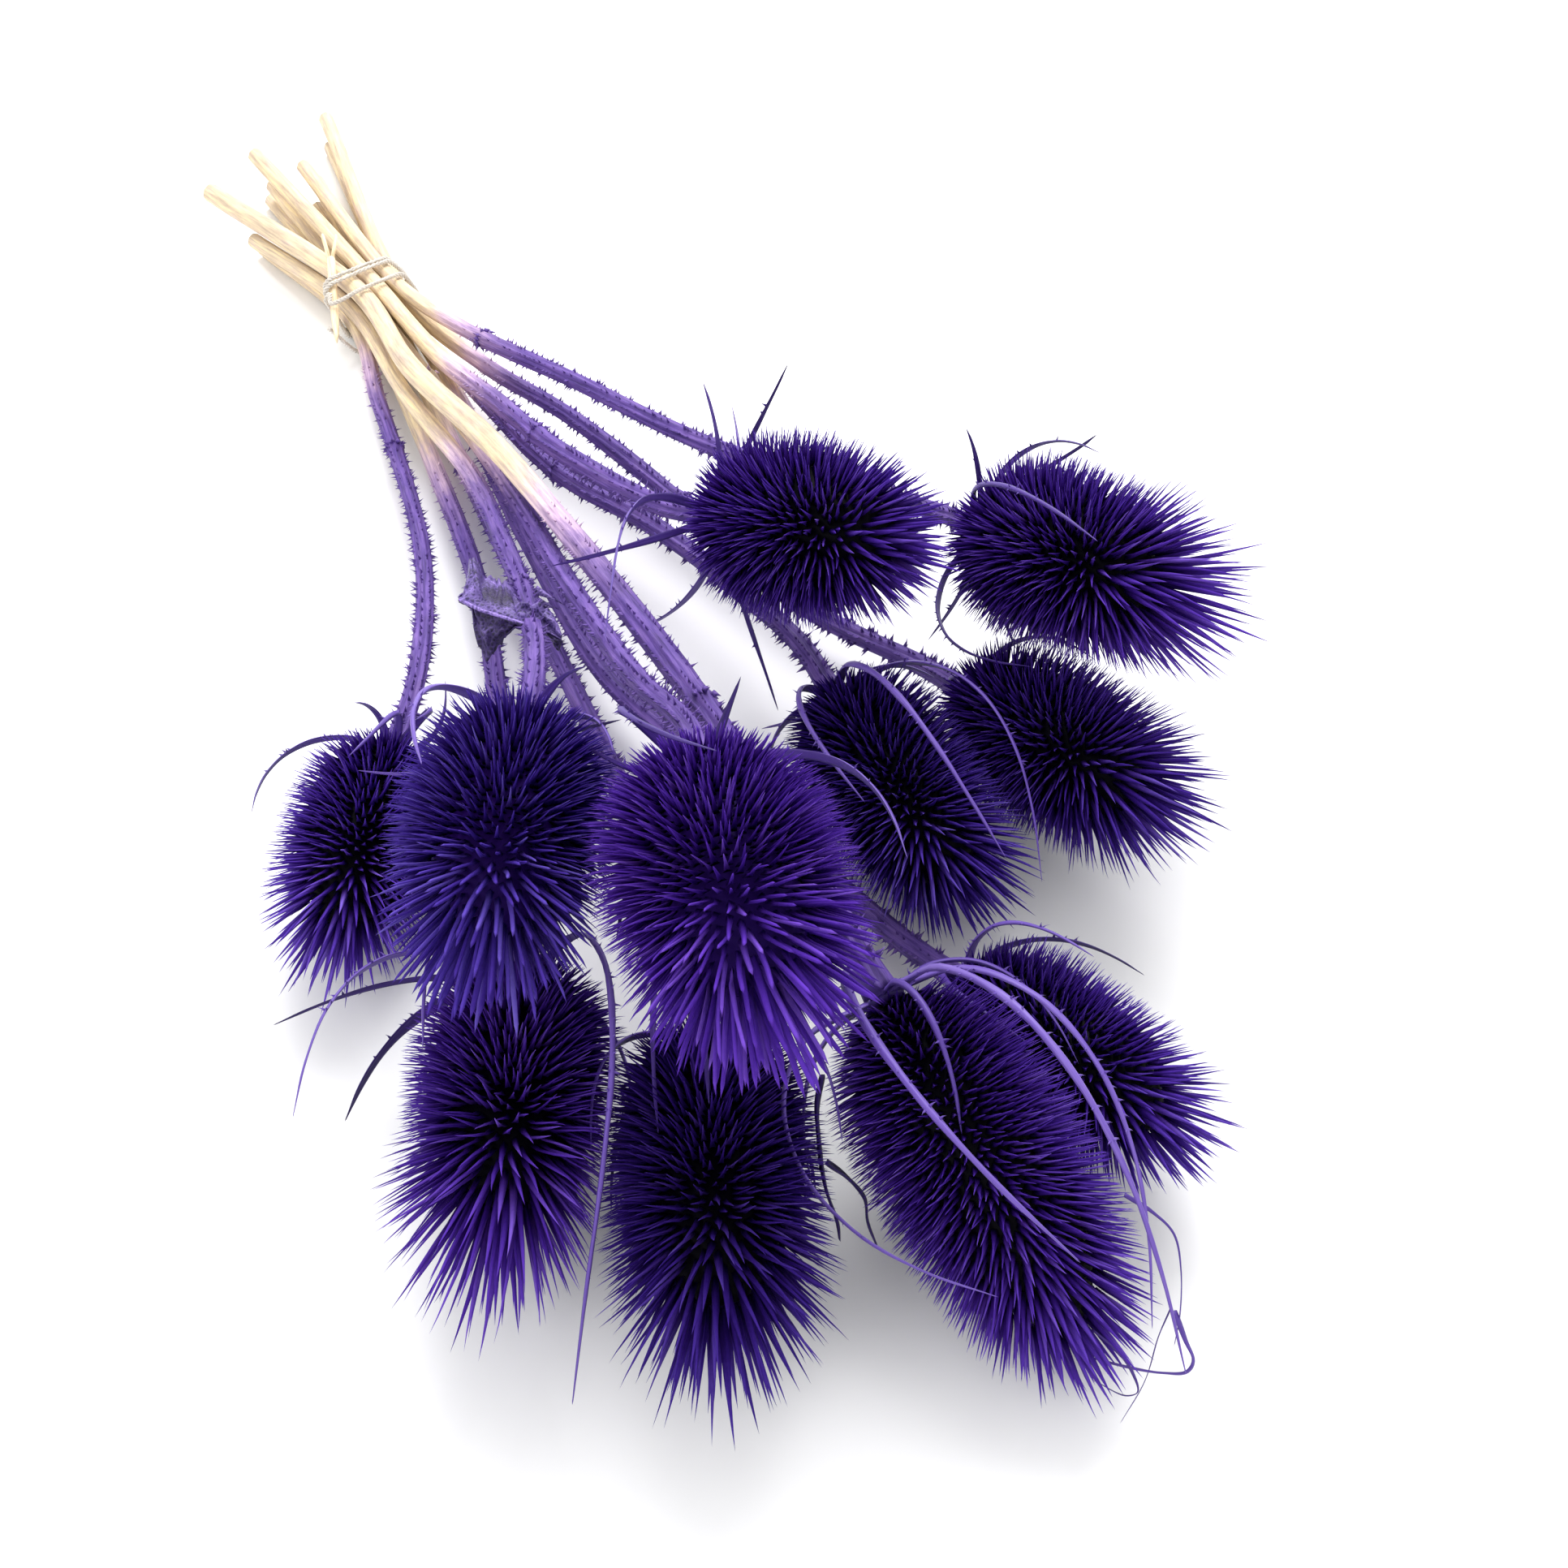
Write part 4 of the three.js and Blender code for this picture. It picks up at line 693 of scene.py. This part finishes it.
# u runs along the midrib from 0 at the leaf's tip to 1 at its torn end, and v across it from -1 at the
# hanging edge to 1 at the rising one.
u = np.linspace(0, 1, 81)[:, None]
v = np.linspace(-1, 1, 41)[None]
MIDRIB = 20
HALF_THICK = 0.16
ragged = 1 + 0.06 * np.sin(41 * u + 1) + 0.06 * np.sin(67 * u) + 0.05 * np.sin(113 * u)
rise = np.interp(u, [0, 0.05, 0.08, 0.14, 0.22, 0.28, 0.31, 0.42, 0.53, 0.56, 0.7, 0.85, 0.93, 1],
                 [0.6, 2.5, 8, 11.5, 12, 8.5, 8.5, 9.5, 8.2, 4.8, 5.2, 5.6, 4.5, 1.5]) * ragged
hang = np.interp(u, [0, 0.17, 0.19, 0.24, 0.27, 0.30, 0.38, 0.46, 0.55, 0.75, 0.88, 0.94, 1],
                 [0.5, 0.8, 6, 9.5, 12, 11, 7.5, 4.5, 1.8, 0.8, 1.2, 3.5, 1.5]) * ragged
crumple = (0.7 * np.sin(9 * u + 2) * np.cos(5 * v) + 0.55 * np.sin(17 * u + 8 * v)
           + 0.4 * np.sin(31 * u - 11 * v))
crumple = crumple * np.minimum(1, 3 * np.abs(v))
back = np.interp(u, [0, 0.1, 0.22, 0.3, 0.52, 0.57, 1], [4, 9, 12, 24, 27, 1, 1]) * np.maximum(v, 0) ** 2
sideways = (np.interp(u, [0, 0.25, 0.6, 0.8, 1], [-17.9, -12.2, -1.7, 2.8, 7.9]) - 0.13 * back
            + 0.5 * np.sin(23 * u + 7 * v) * np.abs(v))
upwards = (np.interp(u, [0, 0.25, 0.6, 0.8, 1], [5.3, 2.5, -0.8, -1.8, -4.7]) + 0.09 * back
           + np.where(v > 0, rise, hang) * v)
towards = (np.interp(u, [0, 0.3, 0.6, 1], [2.0, 3.4, 4.4, 3.0]) - back - 1.5 * np.minimum(v, 0) ** 2
           + 4 * np.maximum(v - 0.7, 0) * (u < 0.28) + crumple)
sheet = (hold + sideways[..., None] * view_right + upwards[..., None] * view_up
         + towards[..., None] * view_back)
normal = unit(np.cross(np.gradient(sheet, axis=0), np.gradient(sheet, axis=1)))
rings = np.concatenate([sheet + HALF_THICK * normal, (sheet - HALF_THICK * normal)[:, ::-1]], axis=1)
leaf_blade = closed_bodies(rings[None], sheet[:1, MIDRIB], sheet[-1:, MIDRIB])
# Painted shade: the blade is darkened in the hollow where its rising half curls back, between u 0.26 and
# 0.55; the hanging half is darker all over.
hollow = np.exp(-((v - 0.5) / 0.2) ** 2) * ((u > 0.26) & (u < 0.55))
tone = 0.2 - 0.3 * (v < 0) - 0.4 * hollow + 0.1 * np.sin(40 * v * (1 + 0.2 * u)) ** 8
tone = np.concatenate([tone, tone[:, ::-1]], axis=1).ravel()
rib_path = sheet[:, MIDRIB] + 0.35 * view_back
tangent, side, up = frames_along(rib_path)
turn = np.arange(8) * math.pi / 4
rib = 0.48 * np.interp(u[:, 0], [0, 0.08, 0.5, 1], [0.4, 1, 0.9, 0.3])
rings = (rib_path[:, None] + (rib[:, None] * np.cos(turn))[..., None] * side[:, None]
         + (rib[:, None] * np.sin(turn))[..., None] * up[:, None])
midrib = closed_bodies(rings[None], rib_path[:1], rib_path[-1:])
stub_start = np.stack([joint + 3.6 * view_right - 1.2 * view_up, joint + 3.6 * view_right - 3.9 * view_up])
stub_out = unit(np.stack([view_right - 0.53 * view_up + 0.2 * view_back,
                          view_right - 0.41 * view_up + 0.2 * view_back]))
stub_along = unit(np.cross(stub_out, view_back))
stubs = spikes(stub_start, stub_out, stub_along, np.array([9.5, 7.5]), np.array([2.4, 2.2]), np.zeros(2),
               rings=6)
leaf = merged([(*leaf_blade, dict(tone=np.append(tone, [0, 0]))),
               (*midrib, dict(tone=np.full(len(midrib[0]), 0.5))),
               (*stubs, dict(tone=np.full(len(stubs[0]), 0.35)))])
add_piece("withered_leaf", leaf, leaf_material, "stems", "stem_06")

# Peg: a slim stick of bare wood, split at its top into two prongs and cut to a point below. Its
# sides are faceted by the knife.
wood, node, shader, link = new_material("bare_wood", 0.6, **{"Specular IOR Level": 0.3})
grain = node("ShaderNodeAttribute", attribute_name="grain").outputs["Vector"]
streak = node("ShaderNodeTexNoise", {"Vector": grain, "Scale": 1.0, "Detail": 4.0}).outputs["Fac"]
link(ramp(node, streak, [(0.3, 0.66, 0.47, 0.27), (0.5, 0.85, 0.68, 0.45), (0.7, 0.93, 0.80, 0.60)]),
     shader.inputs["Base Color"])
bump = node("ShaderNodeBump", {"Height": streak, "Strength": 0.4, "Distance": 0.0004})
link(bump.outputs["Normal"], shader.inputs["Normal"])


def rod(start, end, shares, radii, corners, flat=1.0):
    """A straight rod with a given radius at each share of its length. flat squeezes it sideways."""
    start, end = np.array(start, float), np.array(end, float)
    path = start + np.array(shares)[:, None] * (end - start)
    tangent, side, up = frames_along(path)
    turn = np.arange(corners) * 2 * math.pi / corners
    radii = np.array(radii)[:, None]
    rings = (path[:, None] + (flat * radii * np.cos(turn))[..., None] * side[:, None]
             + (radii * np.sin(turn))[..., None] * up[:, None])
    body = closed_bodies(rings[None], path[:1], path[-1:])
    from_start = (body[0] - start) @ unit(end - start)
    across = (body[0] - start) - from_start[:, None] * unit(end - start)
    return (*body, dict(grain=np.column_stack([across[:, :2] * 2.2, from_start / 7])))


peg_top, peg_point = np.array([-12.4, -16, 25.5]), np.array([-23.5, -63, 15.5])
peg_along = unit(peg_point - peg_top)
peg_side = unit(np.cross(peg_along, [0, 0, 1]))
peg_up = np.cross(peg_side, peg_along)
fork = peg_top + 11 * peg_along
parts = [rod(fork, peg_point, [0, 0.2, 0.5, 0.72, 0.9, 0.99], [1.3, 1.4, 1.36, 1.3, 0.8, 0.2], 9)]
for way in (-1, 1):
    tip = peg_top + way * 2.2 * peg_side + way * 0.4 * peg_up
    foot = fork + 1.5 * peg_along + way * 0.3 * peg_side
    parts.append(rod(tip, foot, [0, 0.06, 0.5, 1], [0.6, 0.85, 0.9, 0.95], 8, flat=0.75))
add_piece("split_peg", merged(parts), wood, "peg", "tightening_peg")

# String: undyed three-ply twine, wound twice round the stems above and once below, with stray
# fibres. Drawn tight, it touches only the stem that stands out furthest in each direction.
twine, node, shader, link = new_material(
    "undyed_twine", 0.85, **{"Specular IOR Level": 0.2, "Sheen Weight": 0.3})
grain = node("ShaderNodeAttribute", attribute_name="grain").outputs["Vector"]
streak = node("ShaderNodeTexNoise", {"Vector": grain, "Scale": 1.0, "Detail": 3.0}).outputs["Fac"]
link(ramp(node, streak, [(0.3, 0.47, 0.42, 0.36), (0.55, 0.69, 0.645, 0.585), (0.75, 0.83, 0.79, 0.74)]),
     shader.inputs["Base Color"])
bump = node("ShaderNodeBump", {"Height": streak, "Strength": 0.5, "Distance": 0.0003})
link(bump.outputs["Normal"], shader.inputs["Normal"])

discs = [(t["path"], t["thick"]) for t in TEASELS]
discs.append((np.stack([peg_top, peg_point]), np.array([1.4, 1.4])))
STRING_TILT = 0.45
STRING_LIFT = 1.2
TIE_MIDDLE_X, TIE_MIDDLE_Z = -4, 11
LAY_LENGTH = 3.4  # mm of string to one turn of its plies
PLY_RADIUS = 0.42
PLY_CORNERS = 7
FIBRES = 260


def string_point(angle, y):
    """Where the string lies at an angle round the tie: on the disc, of all that cross y, that reaches
    furthest that way, STRING_LIFT clear of it. y itself tilts by STRING_TILT of the distance across."""
    out = np.array([math.cos(math.radians(angle)), 0, math.sin(math.radians(angle))])
    place = y
    for _ in range(3):
        found = []
        for path, thick in discs:
            order = np.argsort(path[:, 1])
            if path[order[0], 1] <= place <= path[order[-1], 1]:
                centre = np.array([np.interp(place, path[order, 1], path[order, i]) for i in range(3)])
                radius = np.interp(place, path[order, 1], thick[order])
                reach = (centre - [TIE_MIDDLE_X, y, TIE_MIDDLE_Z]) @ out + radius
                found.append((reach, *(centre + (radius + STRING_LIFT) * out)))
        best = np.array(max(found)[1:])
        place = y + STRING_TILT * (best[0] - TIE_MIDDLE_X)
    return np.array([best[0], place, best[2]])


# Each entry is (degrees round the tie, layout y).
winding = [(270, -31), (-90, -33.1), (-450, -35.2), (-608, -37.3), (-623, -45), (-878, -46)]
route = []
for (start, y0), (end, y1) in zip(winding[:-1], winding[1:]):
    steps = max(2, round(abs(end - start) / 20))
    route += [string_point(start + (end - start) * k / steps, y0 + (y1 - y0) * k / steps)
              for k in range(1 if route else 0, steps + 1)]
path = smooth_curve(route, 14)
tangent, side, up = frames_along(path)
run = np.concatenate([[0], np.cumsum(np.linalg.norm(np.diff(path, axis=0), axis=1))])
turn = np.arange(PLY_CORNERS) * 2 * math.pi / PLY_CORNERS
parts = []
for ply in range(3):
    lay = 2 * math.pi * (run / LAY_LENGTH + ply / 3)
    centre = path + 0.40 * (np.cos(lay)[:, None] * side + np.sin(lay)[:, None] * up)
    rings = (centre[:, None] + PLY_RADIUS * np.cos(turn)[None, :, None] * side[:, None]
             + PLY_RADIUS * np.sin(turn)[None, :, None] * up[:, None])
    body = closed_bodies(rings[None], centre[:1], centre[-1:])
    grain = np.stack(np.broadcast_arrays(
        3 * np.cos(turn)[None], 3 * np.sin(turn)[None], run[:, None] * 0.9 + ply * 5), axis=-1).reshape(-1, 3)
    parts.append((*body, dict(grain=np.vstack([grain, grain[:1], grain[-1:]]))))
random = np.random.default_rng(7)
at = random.integers(0, len(path), FIBRES)
angle = random.uniform(0, 2 * math.pi, FIBRES)
out = side[at] * np.cos(angle)[:, None] + up[at] * np.sin(angle)[:, None]
foot = path[at] + 0.6 * out
out = unit(out + random.normal(0, 0.6, (FIBRES, 1)) * tangent[at])
# A fibre that points down is short enough to stay above the ground.
length = np.minimum(random.uniform(0.5, 1.9, FIBRES), 0.4 * foot[:, 2] + 9 * (out[:, 2] > 0))
fibres = spikes(foot, out, tangent[at], length, np.full(FIBRES, 0.12), random.uniform(-0.6, 0.6, FIBRES))
parts.append((*fibres, dict(grain=fibres[0])))
add_piece("twine", merged(parts), twine, "string", "tie_string")

# Floor, light: a pale seamless floor under one broad soft light from behind and above.
floor_mesh = bpy.data.meshes.new("floor")
floor_mesh.from_pydata([(-4, -4, 0), (4, -4, 0), (4, 4, 0), (-4, 4, 0)], [], [(0, 1, 2, 3)])
floor = bpy.data.objects.new("floor", floor_mesh)
floor_material, node, shader, link = new_material("pale_floor", 0.9)
shader.inputs["Base Color"].default_value = (0.9, 0.9, 0.9, 1)
floor_mesh.materials.append(floor_material)
bpy.context.scene.collection.objects.link(floor)

world = bpy.data.worlds.new("studio")
world.use_nodes = True
world.node_tree.nodes["Background"].inputs["Color"].default_value = (1, 1, 1, 1)
world.node_tree.nodes["Background"].inputs["Strength"].default_value = 1.05
bpy.context.scene.world = world
for name, where, size, power in (("window", (0.5, 0.9, 1.3), 1.2, 34), ("fill", (-1.2, -0.6, 1.2), 1.0, 8)):
    light = bpy.data.lights.new(name, "AREA")
    light.size = size
    light.energy = power
    lamp = bpy.data.objects.new(name, light)
    lamp.location = where
    bpy.context.scene.collection.objects.link(lamp)
    away = unit(np.array(where) - np.array([0, -0.1, 0.03]))
    sideways = unit(np.cross([0, 0, 1], away))
    upright = np.cross(away, sideways)
    lamp.matrix_world = Matrix([
        [sideways[i], upright[i], away[i], where[i]] for i in range(3)] + [[0, 0, 0, 1]])
bpy.context.scene.view_settings.view_transform = "Standard"
